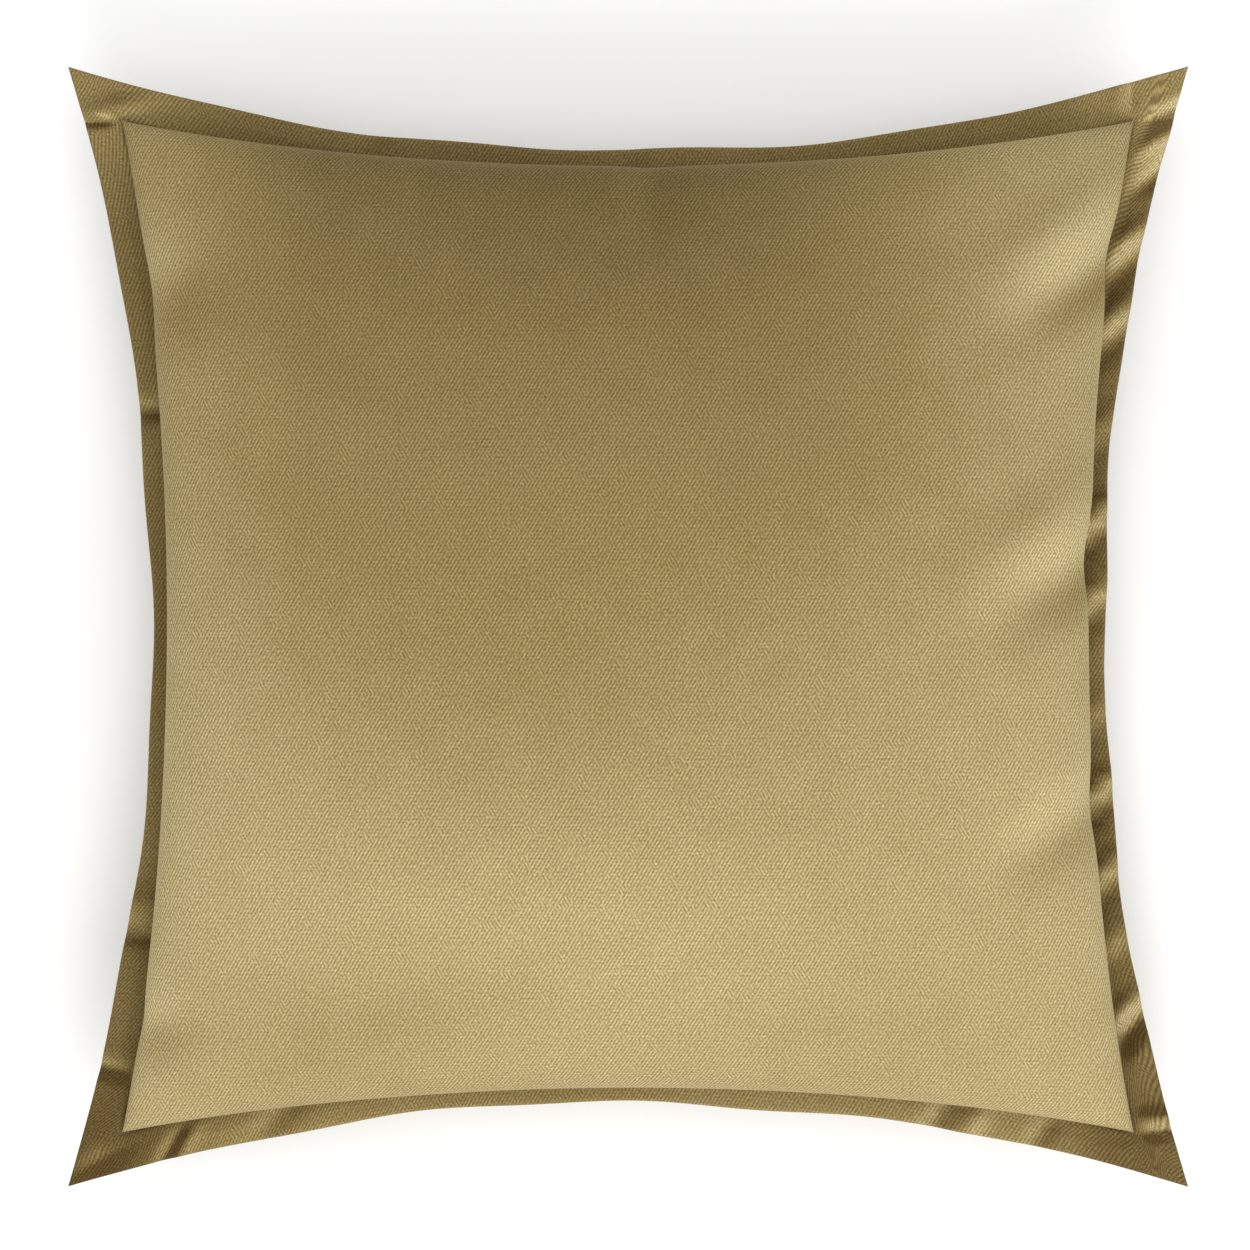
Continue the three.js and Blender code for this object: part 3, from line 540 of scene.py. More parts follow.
def flange_faces(half, s, t):
    """The outer and the inner face of one ply of the flange."""
    x, y = flange_plan(s, t)
    station = np.maximum(np.abs(s), np.abs(t))
    lift = flange_lift(x, y, station)
    inner = FLANGE_LEVEL + lift + half * PLY_GAP / 2
    outer = inner + half * ply_thickness(station)
    return np.stack([x, y, outer], -1), np.stack([x, y, inner], -1)


CREASE = 2.4


def cover_faces(half, s, t, skin):
    """The outer and inner faces of a cover panel: the stuffed body inside station 1, the flange outside."""
    inside_s, inside_t = np.clip(s, -1, 1), np.clip(t, -1, 1)
    station = np.maximum(np.abs(s), np.abs(t))
    body = skin(inside_s, inside_t)
    lining = body - normals_of(skin, inside_s, inside_t, half) * VELVET
    folded = {**COVER, "seam": CREASE * VELVET}
    crease = puffed(half, folded, inside_s, inside_t)
    crease[..., 2] = FLANGE_LEVEL + half * PLY_GAP / 2
    ply_outer, ply_inner = flange_faces(half, s, t)
    outside = (station > 1)[..., None]
    seam = (station == 1)[..., None]
    outer = np.where(outside, ply_outer, body)
    inner = np.where(outside, ply_inner, np.where(seam, crease, lining))
    return outer, inner


def stations():
    """Stations across the cover, close together at the seam, the topstitch and the outer edge."""
    body = np.sin(np.linspace(-1, 1, BODY_STEPS + 1) * np.pi / 2 * 0.86) / np.sin(np.pi / 2 * 0.86)
    stitch = 1 + np.array([0.3, 0.7, 1.1, 1.5, 1.9, 2.4]) * MM / FLANGE_WIDTH
    flat = np.linspace(1.16, ROUNDED_FROM, FLANGE_STEPS)
    edge = np.array([1.955, 1.975, 1.99, 2.0])
    flange = np.concatenate([stitch, flat, edge])
    return np.concatenate([-flange[::-1], body, flange])


# Painted light and shade on the flange: how much lighter the slopes of its folds that face the lower right
# are painted, and how much darker those that face away
FOLD_PAINTED_LIGHT = 0.58
# Painted light and shade on the body: how much lighter the slopes of its hollows and swellings that face the
# lower right are painted, and how much darker those that face away
DENT_PAINTED_LIGHT = 0.9
SLOPE_STEP = 0.8 * MM


def slope_of_flange(x, y, station):
    """How steeply the flange falls towards the lower right, by a difference over a short step."""
    ahead = flange_lift(x + 0.5 * SLOPE_STEP, y - SLOPE_STEP, station)
    behind = flange_lift(x - 0.5 * SLOPE_STEP, y + SLOPE_STEP, station)
    return np.clip((behind - ahead) / (2.2 * SLOPE_STEP), -0.5, 0.7)


def slope_of_dents(x, y):
    """How steeply the body's hollows and swellings fall towards the lower right."""
    ahead = dents(x + 0.6 * SLOPE_STEP, y - SLOPE_STEP)
    behind = dents(x - 0.6 * SLOPE_STEP, y + SLOPE_STEP)
    return (behind - ahead) / (2.3 * SLOPE_STEP)


def cloth_lengths(points):
    """Cloth coordinates in metres: the length along each row and each column, from the middle."""
    rows, columns = points.shape[:2]
    along = np.zeros((rows, columns))
    up = np.zeros((rows, columns))
    along[:, 1:] = np.cumsum(np.linalg.norm(np.diff(points, axis=1), axis=-1), axis=1)
    up[1:, :] = np.cumsum(np.linalg.norm(np.diff(points, axis=0), axis=-1), axis=0)
    along -= along[:, columns // 2 : columns // 2 + 1]
    up -= up[rows // 2 : rows // 2 + 1, :]
    return np.stack([along, up], -1)


def nap_and_shade_of(half, s, t, points):
    """How dark or light the velvet is painted, from 0, dark, to 1, light: partly how the pile lies, partly
    painted light and shade.

    It lightens from the top to the bottom of the face, a little to the right and at the sides: painted light
    from the lower right and painted highlights at the sides, together with the pile's lay. Slopes of the
    front's hollows and of the flange's folds that face the lower right are painted lighter, the others
    darker.
    """
    x, y = points[..., 0] / SEAM_HALF, points[..., 1] / SEAM_HALF
    station = np.maximum(np.abs(s), np.abs(t))
    # Painted light and the pile's lay: lighter towards the bottom of the face, where the light comes from
    body = 0.44 - 0.31 * y - 0.22 * smooth_step(-y, 0.5, 1.05)
    # Painted highlights: lighter towards the right side and at the left edge
    body += (0.64 - body) * 0.85 * smooth_step(x, 0.2, 0.95)
    body += (0.60 - body) * 0.65 * smooth_step(-x, 0.55, 0.95)
    body += 0.03 * np.sin(5.1 * x + 2.3 * y) * np.cos(3.7 * y - 1.1 * x)
    if half == FRONT:
        # Painted light and shade on the slopes of the hollows and swellings
        body += DENT_PAINTED_LIGHT * slope_of_dents(points[..., 0], points[..., 1])
    corner = smooth_step(np.minimum(np.abs(x), np.abs(y)), 0.75, 1.0)
    low_side = smooth_step(-t, 1.0, 1.02) * (1 - corner)
    # The flange: darker than the body, lighter along its lower side and a little to the right, partly as
    # painted light
    flange = 0.22 + 0.03 * x + 0.19 * low_side + 0.14 * corner * y + 0.05 * np.sin(9 * x) * np.cos(8 * y)
    # Painted light and shade on the slopes of the flange's folds
    flange += FOLD_PAINTED_LIGHT * slope_of_flange(points[..., 0], points[..., 1], station)
    if half == BACK:
        body = 0.5 - 0.2 * y + 0.05 * np.sin(5 * x - 3 * y)
    return np.where(station > 1, flange, body)


# ---- shader nodes ----


class Socket:
    """A node's output that Python's operators add Math nodes to."""

    def __init__(self, finish, socket):
        self.finish = finish
        self.socket = socket

    def math(self, operation, *others):
        return self.finish.node("ShaderNodeMath", {"operation": operation}, [self, *others])

    def __add__(self, other):
        return self.math("ADD", other)

    def __sub__(self, other):
        return self.math("SUBTRACT", other)

    def __mul__(self, other):
        return self.math("MULTIPLY", other)

    def __truediv__(self, other):
        return self.math("DIVIDE", other)

    def __rtruediv__(self, other):
        return self.finish.node("ShaderNodeMath", {"operation": "DIVIDE"}, [other, self])

    def __rsub__(self, other):
        return self.finish.node("ShaderNodeMath", {"operation": "SUBTRACT"}, [other, self])

    __radd__ = __add__
    __rmul__ = __mul__

    def wave(self, turns):
        """From 0 to 1 and back, a number of times in each unit of the value."""
        return (self * (2 * np.pi * turns)).math("SINE") * 0.5 + 0.5


class Finish:
    """A material and the nodes behind its Principled shader."""

    def __init__(self, name, **constants):
        self.material = bpy.data.materials.new(name)
        self.material.use_nodes = True
        self.tree = self.material.node_tree
        self.shader = self.tree.nodes["Principled BSDF"]
        for label, value in constants.items():
            self.shader.inputs[label.replace("_", " ")].default_value = value

    def node(self, kind, settings=None, sockets=None, output=0):
        """Adds a node: its settings first, then its sockets by number or name, by value or by link."""
        node = self.tree.nodes.new(kind)
        for label, value in (settings or {}).items():
            if label == "stops":
                self.set_stops(node.color_ramp, value)
            else:
                setattr(node, label, value)
        pairs = sockets.items() if isinstance(sockets, dict) else enumerate(sockets or [])
        for label, value in pairs:
            if isinstance(value, Socket):
                self.tree.links.new(value.socket, node.inputs[label])
            else:
                node.inputs[label].default_value = value
        return Socket(self, node.outputs[output])

    @staticmethod
    def set_stops(ramp, stops):
        while len(ramp.elements) < len(stops):
            ramp.elements.new(0.5)
        for element, (position, colour) in zip(ramp.elements, stops):
            element.position = position
            element.color = (*colour, 1)

    def place(self):
        """The piece's own place, in metres."""
        return self.node("ShaderNodeTexCoord", output="Object")

    def cloth(self):
        """The piece's cloth coordinates, in metres: the vector, and its two parts."""
        vector = self.node("ShaderNodeUVMap", {"uv_map": "cloth"})
        across = self.node("ShaderNodeSeparateXYZ", None, [vector])
        up = Socket(self, across.socket.node.outputs["Y"])
        return vector, across, up

    def value(self, name):
        """A value that the mesh holds at each point."""
        return self.node("ShaderNodeAttribute", {"attribute_name": name}, output="Fac")

    def noise(self, vector, scale, detail=2.0, roughness=0.5, stretch=None):
        """Smooth noise around 0.5, its vector stretched first where a stretch is given."""
        if stretch:
            vector = self.node("ShaderNodeVectorMath", {"operation": "MULTIPLY"}, [vector, stretch])
        sockets = {"Vector": vector, "Scale": scale, "Detail": detail, "Roughness": roughness}
        return self.node("ShaderNodeTexNoise", {"noise_dimensions": "3D"}, sockets)

    def ramp(self, value, stops):
        """A colour from a value between 0 and 1."""
        return self.node("ShaderNodeValToRGB", {"stops": stops}, [value])

    def mix(self, factor, first, second, blend="MIX"):
        """A colour between two colours."""
        settings = {"data_type": "RGBA", "blend_type": blend}
        return self.node("ShaderNodeMix", settings, {0: factor, 6: first, 7: second}, output=2)

    def grey(self, value):
        """A value as a grey colour."""
        return self.node("ShaderNodeCombineColor", None, [value, value, value])

    def feed(self, label, socket):
        self.tree.links.new(socket.socket, self.shader.inputs[label])

    def bump(self, height, strength, distance):
        sockets = {"Strength": strength, "Distance": distance, "Height": height}
        self.feed("Normal", self.node("ShaderNodeBump", None, sockets))


def rgba(colour):
    return (*colour, 1)


def shade(colour, factor):
    """A colour made darker or lighter."""
    return tuple(min(channel * factor, 1) for channel in colour)


# ---- finishes ----


def velvet_finish(sizes, colours):
    """Short-piled velvet: a twill ground that shows through, mottled pile and a pale rim of nap."""
    finish = Finish("velvet", Roughness=0.92, Sheen_Weight=0.14, Sheen_Roughness=0.4)
    finish.shader.inputs["Sheen Tint"].default_value = rgba(colours.velvet_rim)
    finish.shader.inputs["Specular IOR Level"].default_value = 0.18
    cloth, u, v = finish.cloth()
    turns = 1 / sizes.weave_pitch
    patches = finish.noise(cloth, 55, 3)
    fine = finish.noise(cloth, 900, 2)
    drift = (patches - 0.5) * 0.9 * MM
    rising = (u * 0.866 - v * 0.5 + drift).wave(turns)
    falling = (u * 0.866 + v * 0.5 - drift).wave(turns * 0.97)
    choice = finish.node(
        "ShaderNodeMapRange",
        {"interpolation_type": "SMOOTHSTEP"},
        [finish.noise(cloth, 130, 2), 0.30, 0.46, 0.0, 1.0],
    )
    twill = rising * choice + falling * (1 - choice)
    rows = v.wave(turns * 0.93)
    weave = twill * 0.82 + rows * 0.18
    # The ramp turns the per-point value into colour: painted shade towards its dark end, painted light and
    # highlight towards its light end, mixed with the pile's own lay
    nap = finish.value("nap") + (patches - 0.5) * 0.10 + (fine - 0.5) * 0.10
    colour = finish.ramp(
        nap,
        [
            (0.0, colours.velvet_dark_and_shaded),
            (0.40, colours.velvet_middle),
            (0.72, colours.velvet_light_and_lit),
            (1.0, shade(colours.velvet_light_and_lit, 1.2)),
        ],
    )
    depth = weave * sizes.weave_contrast + (1 - sizes.weave_contrast / 2)
    grain = depth * ((fine - 0.5) * 1.3 + 1.02)
    finish.feed("Base Color", finish.mix(1.0, colour, finish.grey(grain), "MULTIPLY"))
    finish.feed("Roughness", weave * 0.08 + 0.86)
    finish.bump(weave * 0.7 + fine * 0.6, 0.55, 0.25 * MM)
    return finish.material


def ticking_finish(colours):
    """Plain-woven cotton ticking: two crossing sets of threads."""
    finish = Finish("ticking", Roughness=0.85, Sheen_Weight=0.1)
    cloth, u, v = finish.cloth()
    weave = u.wave(1600) * 0.5 + v.wave(1600) * 0.5
    slub = finish.noise(cloth, 60, 4, stretch=(1, 9, 1))
    stops = [(0.2, shade(colours.ticking, 0.88)), (0.8, colours.ticking)]
    colour = finish.ramp(slub * 0.6 + weave * 0.4, stops)
    finish.feed("Base Color", colour)
    finish.bump(weave + slub * 0.5, 0.4, 0.2 * MM)
    return finish.material


def fibre_finish(colours):
    """Loose polyester fibre: noise drawn out into wisps."""
    finish = Finish("fibre", Roughness=0.95, Sheen_Weight=0.3)
    place = finish.place()
    wisps = finish.noise(place, 90, 6, 0.7, stretch=(1, 3, 1))
    strands = finish.noise(place, 500, 4, 0.6, stretch=(3, 1, 1))
    stops = [(0.25, shade(colours.fibre, 0.84)), (0.75, colours.fibre)]
    colour = finish.ramp(wisps * 0.7 + strands * 0.3, stops)
    finish.feed("Base Color", colour)
    finish.bump(wisps + strands * 0.6, 0.8, 2 * MM)
    return finish.material


def thread_finish(colours):
    """Spun sewing thread: fine twisted plies."""
    finish = Finish("thread", Roughness=0.55, Sheen_Weight=0.25)
    place = finish.place()
    plies = finish.noise(place, 2600, 2, stretch=(1, 1, 0.4))
    colour = finish.ramp(plies, [(0.3, shade(colours.thread, 0.62)), (0.7, shade(colours.thread, 1.25))])
    finish.feed("Base Color", colour)
    finish.bump(plies, 0.5, 0.1 * MM)
    return finish.material


def tape_finish(colours):
    """Woven zip tape: a herringbone of fine ribs across the tape's length."""
    finish = Finish("zip_tape", Roughness=0.75, Sheen_Weight=0.15)
    cloth, u, v = finish.cloth()
    zigzag = (v.wave(420) * 0.6 * MM + u).wave(1500)
    ribs = v.wave(1250)
    weave = zigzag * 0.6 + ribs * 0.4
    stops = [(0.1, shade(colours.tape, 0.7)), (0.9, shade(colours.tape, 1.15))]
    finish.feed("Base Color", finish.ramp(weave, stops))
    finish.bump(weave, 0.6, 0.15 * MM)
    return finish.material


def coil_finish(colours):
    """Nylon monofilament: smooth and slightly glossy, with faint drawing lines."""
    finish = Finish("zip_coil", Roughness=0.38, Coat_Weight=0.2, IOR=1.53)
    place = finish.place()
    tone = finish.noise(place, 700, 2)
    stops = [(0.3, shade(colours.coil, 0.85)), (0.7, shade(colours.coil, 1.12))]
    finish.feed("Base Color", finish.ramp(tone, stops))
    finish.feed("Roughness", tone * 0.15 + 0.3)
    finish.bump(finish.noise(place, 4000, 1), 0.15, 0.05 * MM)
    return finish.material


def brass_finish(colours):
    """Antiqued brass: brushed scratches, dark tarnish in patches and rubbed bright in others."""
    finish = Finish("zip_brass", Metallic=1.0)
    place = finish.place()
    brush = finish.noise(place, 900, 4, 0.6, stretch=(0.3, 2.5, 1))
    tarnish = finish.noise(place, 260, 5, 0.65)
    worn = finish.node("ShaderNodeMapRange", None, [tarnish, 0.42, 0.62, 0.0, 1.0])
    colour = finish.mix(worn, rgba(shade(colours.brass, 0.45)), rgba(colours.brass))
    finish.feed("Base Color", colour)
    finish.feed("Roughness", 0.42 - worn * 0.14 + brush * 0.12)
    finish.bump(brush * 0.5 + tarnish, 0.3, 0.08 * MM)
    return finish.material


def satin_finish(colours):
    """Woven satin label cloth: long floats with a soft sheen."""
    finish = Finish("label_satin", Roughness=0.4, Sheen_Weight=0.1)
    cloth, u, v = finish.cloth()
    floats = u.wave(2200) * 0.6 + v.wave(700) * 0.4
    finish.feed("Base Color", finish.ramp(floats, [(0.1, shade(colours.label, 0.88)), (0.9, colours.label)]))
    finish.feed("Roughness", floats * 0.15 + 0.35)
    finish.bump(floats, 0.3, 0.08 * MM)
    return finish.material


def floor_finish(colours):
    """A plain pale floor with the faintest unevenness."""
    finish = Finish("floor", Roughness=0.7)
    mottle = finish.noise(finish.place(), 3, 4)
    finish.feed("Base Color", finish.ramp(mottle, [(0.3, shade(colours.floor, 0.985)), (0.7, colours.floor)]))
    return finish.material


# ---- stitches and threads ----


def stations_round(station, steps=400):
    """Stations round one ring of the cover, side after side."""
    along = station * np.linspace(-1, 1, steps, endpoint=False)
    edge = np.full(steps, station)
    s = np.concatenate([along, edge, -along, -edge])
    t = np.concatenate([-edge, along, edge, -along])
    return s, t


def spaced(path, pitch, closed=False):
    """Points at an even pitch along a path, with the way it runs at each of them."""
    line = np.concatenate([path, path[:1]]) if closed else path
    length = np.concatenate([[0], np.cumsum(np.linalg.norm(np.diff(line, axis=0), axis=1))])
    count = max(int(round(length[-1] / pitch)), 2)
    step = length[-1] / count
    middle = (np.arange(count) + 0.5) * step

    def read(at):
        return np.stack([np.interp(at, length, line[:, axis]) for axis in range(3)], -1)

    return read(middle), unit(read(middle + step / 3) - read(middle - step / 3)), step


def stitch_row(points, ways, ups, length, radius, arch, lean=0.0):
    """One short arched strand at each point: a round bar that thins and sinks towards both ends.

    Along it u runs from -1 to 1: its radius is r (1 - u^6)^(1/2), its height arch (1 - u^2) - r / 2.
    """
    u = np.array([-1.0, -0.93, -0.7, -0.3, 0.3, 0.7, 0.93, 1.0])
    angle = np.linspace(0, 2 * np.pi, 6, endpoint=False)
    thickness = radius * np.sqrt(np.maximum(1 - u**6, 0)) + 0.02 * radius
    ways = unit(ways + lean * np.cross(ups, ways))
    sides = unit(np.cross(ups, ways))
    ups = np.cross(ways, sides)
    centre = points[:, None, :] + ways[:, None, :] * (u * length / 2)[None, :, None]
    centre = centre + ups[:, None, :] * (arch * (1 - u**2) - radius / 2)[None, :, None]
    ring_side = np.cos(angle)[None, None, :, None] * sides[:, None, None, :]
    ring_up = np.sin(angle)[None, None, :, None] * ups[:, None, None, :]
    body = centre[:, :, None, :] + thickness[None, :, None, None] * (ring_side + ring_up)
    count, rows, columns = body.shape[:3]
    one = grid_faces(rows, columns, ring=True)
    start = np.arange(count)[:, None, None] * rows * columns
    faces = (one[None] + start).reshape(-1, 4)
    caps = np.stack([np.arange(columns)[::-1], np.arange(columns) + (rows - 1) * columns])
    ends = (caps[None] + start).reshape(-1, columns)
    return body.reshape(-1, 3), [faces, ends]


def cord_round(path, radius, sides=8):
    """A closed round thread along a flat ring of points."""
    ahead = unit(np.roll(path, -1, 0) - np.roll(path, 1, 0))
    ups = np.tile([0.0, 0.0, 1.0], (len(path), 1))
    return swept(path, unit(np.cross(ahead, ups)), ups, round_profile(radius, radius, sides), loop=True)


def flange_line(offset, half, height, steps=400):
    """A line on the flange at an offset from the seam, a height above the ply's outer face."""
    s, t = stations_round(1 + offset / FLANGE_WIDTH, steps)
    outer, inner = flange_faces(half, s, t)
    outer[:, 2] += half * height
    return outer, inner


# ---- making the pieces ----


made_finishes = {}


def shared(maker, *arguments):
    """A finish that is made once and shared by every piece that asks for it."""
    if maker not in made_finishes:
        made_finishes[maker] = maker(*arguments)
    return made_finishes[maker]


def settings():
    scene = bpy.context.scene
    return scene.pillow_sizes, scene.pillow_colours


def velvet():
    return shared(velvet_finish, *settings())


def stands_for(obj, node, body="pillow"):
    """Puts a piece in its CAD node's place: it joins the named body, and the CAD node is hidden."""
    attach(obj, body)
    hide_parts(node)
    return obj


def sew_front():
    """The front panel: one grid over the stuffed front and the front ply of the flange."""
    places = stations()
    s, t = np.meshgrid(places, places)
    outer, inner = cover_faces(FRONT, s, t, front_skin)
    points, faces = shell(outer, inner)
    uv = np.tile(cloth_lengths(outer).reshape(-1, 2), (2, 1))
    # Per point: the pile's lay with painted light and shade, for the velvet's colour
    nap = np.tile(nap_and_shade_of(FRONT, s, t, outer).ravel(), 2)
    panel = piece("velvet_front", points, faces, velvet(), uv, {"nap": nap})
    stands_for(panel, "cover_front")


def slot_half(s):
    """Half the gap between the back panels: open along the zip, closed to a seam past its ends."""
    past = (np.abs(s) - ZIP_END_COLUMN) / (TAPER_COLUMN - ZIP_END_COLUMN)
    return SLOT_HALF + (JOIN_HALF - SLOT_HALF) * smooth_step(past, 0, 1)


def back_rows(side):
    """Rows of one back panel, from the zip's edge outwards, close together at its edge."""
    places = stations()
    near = ZIP_ROW + side * np.array([0.0, 0.4, 0.9, 1.6, 2.6, 4.0]) * MM / CLOTH_PER_ROW
    clear = side * (places - ZIP_ROW) * CLOTH_PER_ROW > 6 * MM
    return np.sort(np.concatenate([near, places[clear]]))


def sew_back(side, name, node):
    """One back panel: a grid whose edge row follows the zip's slot."""
    columns = stations()
    s, t = np.meshgrid(columns, back_rows(side))
    near = np.clip(1 - np.abs(t - ZIP_ROW) * CLOTH_PER_ROW / (6 * MM), 0, 1)
    t = np.where(near > 0, t + side * slot_half(s) / CLOTH_PER_ROW * near, t)
    outer, inner = cover_faces(BACK, s, t, back_skin)
    points, faces = shell(outer, inner)
    uv = np.tile(cloth_lengths(outer).reshape(-1, 2), (2, 1))
    # Per point: the pile's lay with painted light and shade, for the velvet's colour
    nap = np.tile(nap_and_shade_of(BACK, s, t, outer).ravel(), 2)
    panel = piece(name, points, faces, velvet(), uv, {"nap": nap})
    stands_for(panel, node)


def insert_skin(half):
    """The insert's outer surface: under the cover, and under the zip at its depth."""
    if half == FRONT:
        return lambda s, t: puffed(FRONT, INSERT, s, t)

    def skin(s, t):
        under = back_skin(s, t) - normals_of(back_skin, s, t, BACK) * INSERT["skin"]
        plain = puffed(BACK, INSERT, s, t)
        return plain + (under - plain) * zip_share(s, t)[..., None]

    return skin


def make_insert_shell(half, name, node):
    """One half of the ticking case, with shallow puckers that run in from its seam."""
    places = np.linspace(-1, 1, 91)
    s, t = np.meshgrid(places, places)
    skin = insert_skin(half)
    outer = skin(s, t)
    normals = normals_of(skin, s, t, half)
    station = np.maximum(np.abs(s), np.abs(t))
    pucker = smooth_step(station, 0.75, 0.94) * (1 - smooth_step(station, 0.94, 1))
    beside_seam = np.where(np.abs(t) > np.abs(s), outer[..., 0], outer[..., 1])
    wave = np.sin(70 * beside_seam)
    outer = outer - normals * (0.5 * MM * pucker * (1 + wave))[..., None]
    folded = {**INSERT, "seam": INSERT["seam"] + CREASE * TICKING}
    crease = puffed(half, folded, s, t)
    crease[..., 2] = FLANGE_LEVEL + half * PLY_GAP / 2
    inner = np.where((station == 1)[..., None], crease, outer - normals * TICKING)
    points, faces = shell(outer, inner)
    uv = np.tile(cloth_lengths(outer).reshape(-1, 2), (2, 1))
    case = piece(name, points, faces, shared(ticking_finish, settings()[1]), uv)
    stands_for(case, node)


def make_fill():
    """The fibre: a closed lens with soft lumps, a sum of sines that fades out at its edge."""
    places = np.linspace(-1, 1, 91)
    s, t = np.meshgrid(places, places)
    fade = (1 - s**2) * (1 - t**2)
    lumps = 0.9 * MM * fade * np.sin(9 * s + 1) * np.cos(8 * t) + 0.5 * MM * fade * np.sin(21 * s - 15 * t)
    front = puffed(FRONT, FILL, s, t)
    front[..., 2] -= 1.4 * MM * fade - lumps
    back = puffed(BACK, FILL, s, t)
    plain = insert_skin(BACK)(s, t)
    deeper = plain - normals_of(insert_skin(BACK), s, t, BACK) * (FILL["skin"] - INSERT["skin"])
    back = back + (deeper - back) * zip_share(s, t)[..., None]
    points, faces = shell(front, back)
    fill = piece("stuffing", points, faces, shared(fibre_finish, settings()[1]))
    stands_for(fill, "insert_fill")


def make_insert_seam():
    """The insert's overlocked seam: slanting stitches round its edge."""
    s, t = stations_round(1.0)
    path = puffed(FRONT, INSERT, np.clip(s, -1, 1), np.clip(t, -1, 1))
    path[:, 2] = FLANGE_LEVEL
    path[:, :2] *= 1 - 0.3 * MM / SEAM_HALF
    points, ways, step = spaced(path, 3.4 * MM, closed=True)
    ups = np.tile([0.0, 0.0, 1.0], (len(points), 1))
    body = stitch_row(points, ways, ups, 1.15 * step, 0.24 * MM, 0.1 * MM, lean=0.25)
    seam = piece("insert_overlock", *body, shared(thread_finish, settings()[1]))
    stands_for(seam, "insert_seam_thread")


def make_flange_stitches():
    """The topstitch, from the needle's and the bobbin's side, and the thread in the flange's edge."""
    sizes = settings()[0]
    for half, name, node in (
        (FRONT, "topstitch_needle", "flange_needle_thread"),
        (BACK, "topstitch_bobbin", "flange_bobbin_thread"),
    ):
        line, _ = flange_line(STITCH_OFFSET, half, sizes.thread_radius * 0.55)
        points, ways, step = spaced(line, sizes.stitch_length, closed=True)
        ups = np.tile([0.0, 0.0, float(half)], (len(points), 1))
        body = stitch_row(points, ways, ups, 0.86 * step, sizes.thread_radius, 0.12 * MM, lean=0.06)
        stands_for(piece(name, *body, shared(thread_finish, settings()[1])), node)
    _, inner = flange_line(FLANGE_WIDTH - 1.5 * MM, FRONT, 0.0)
    inner[:, 2] -= PLY_GAP / 2
    edge = piece("edge_thread", *cord_round(inner, 0.24 * MM), shared(thread_finish, settings()[1]))
    stands_for(edge, "edge_seam_thread")


def zip_frames(angle):
    """The zip's directions at each angle: across it and out of it."""
    across = turned(np.tile(ZIP_ACROSS, (len(angle), 1)), ZIP_AXIS, angle)
    return across, turned(np.tile(ZIP_OUT, (len(angle), 1)), ZIP_AXIS, angle)


def turn_of(length):
    return length / ZIP_RADIUS


CHAIN_START = -ZIP_END_ANGLE + turn_of(PIECE_GAP)
CHAIN_END = ZIP_END_ANGLE - turn_of(PIECE_GAP)
SLIDER_ANGLE = CHAIN_START + turn_of(STOP_LENGTH + PIECE_GAP + SLIDER_LENGTH / 2)


def make_tapes():
    """The two zip tapes: a thin rounded band along the zip's arc, its free edge a thicker cord."""
    end = ZIP_END_ANGLE + turn_of(SLOT_TAPER)
    angle = np.linspace(-end, end, ZIP_STEPS + 1)
    across, out = zip_frames(angle)
    share = np.linspace(-1, 1, 13)
    half_thick = TAPE / 2 * (0.8 + 0.2 * smooth_step(np.abs(share), 0.8, 0.95))
    half_thick[[0, -1]] *= 0.3
    upper = np.stack([share * TAPE_WIDTH / 2, half_thick], -1)
    lower = np.stack([share[::-1] * TAPE_WIDTH / 2, -half_thick[::-1]], -1)
    profile = np.concatenate([upper, lower])
    length = (angle * ZIP_RADIUS)[:, None] + 0 * profile[:, 0][None]
    uv = np.stack([profile[:, 0][None] + 0 * length, length], -1).reshape(-1, 2)
    for side, name in ((1, "upper"), (-1, "lower")):
        centre = on_zip(angle, side * (TAPE_NEAR + TAPE_WIDTH / 2), TAPE_TOP - TAPE / 2)
        points, faces = swept(centre, across, out, profile)
        map_all = np.concatenate([uv, uv[:1], uv[-1:]])
        tape = piece(f"zip_tape_{name}", points, faces, shared(tape_finish, settings()[1]), map_all)
        stands_for(tape, f"zipper_tape_{name}")
        part_on_opening(tape, side)


def part_on_opening(obj, side):
    """Gives a tape or coil a mesh of its own.

    It works out where the slider opens the zip, the way across there and the far edge's anchor, but does not
    move any point.
    """
    open_angle = -SLIDER_ANGLE
    across = turned(ZIP_ACROSS, ZIP_AXIS, np.array(open_angle))
    anchor = on_zip(open_angle, side * (TAPE_NEAR + TAPE_WIDTH), TAPE_TOP)
    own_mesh(obj)


def coil_shift(angle):
    """How far a coil stands aside: apart at the slider's post, together behind its tail."""
    post = SLIDER_ANGLE - turn_of(SLIDER_LENGTH / 2 - POST_LENGTH)
    tail = SLIDER_ANGLE + turn_of(SLIDER_LENGTH / 2)
    return OPEN_SHIFT * (1 - np.clip((angle - post) / (tail - post), 0, 1))


COIL_PITCH = 1.5 * MM
COIL_WIRE = 0.3 * MM
COIL_TURN_STEPS = 9
HEAD_OVERLAP = 0.35 * MM


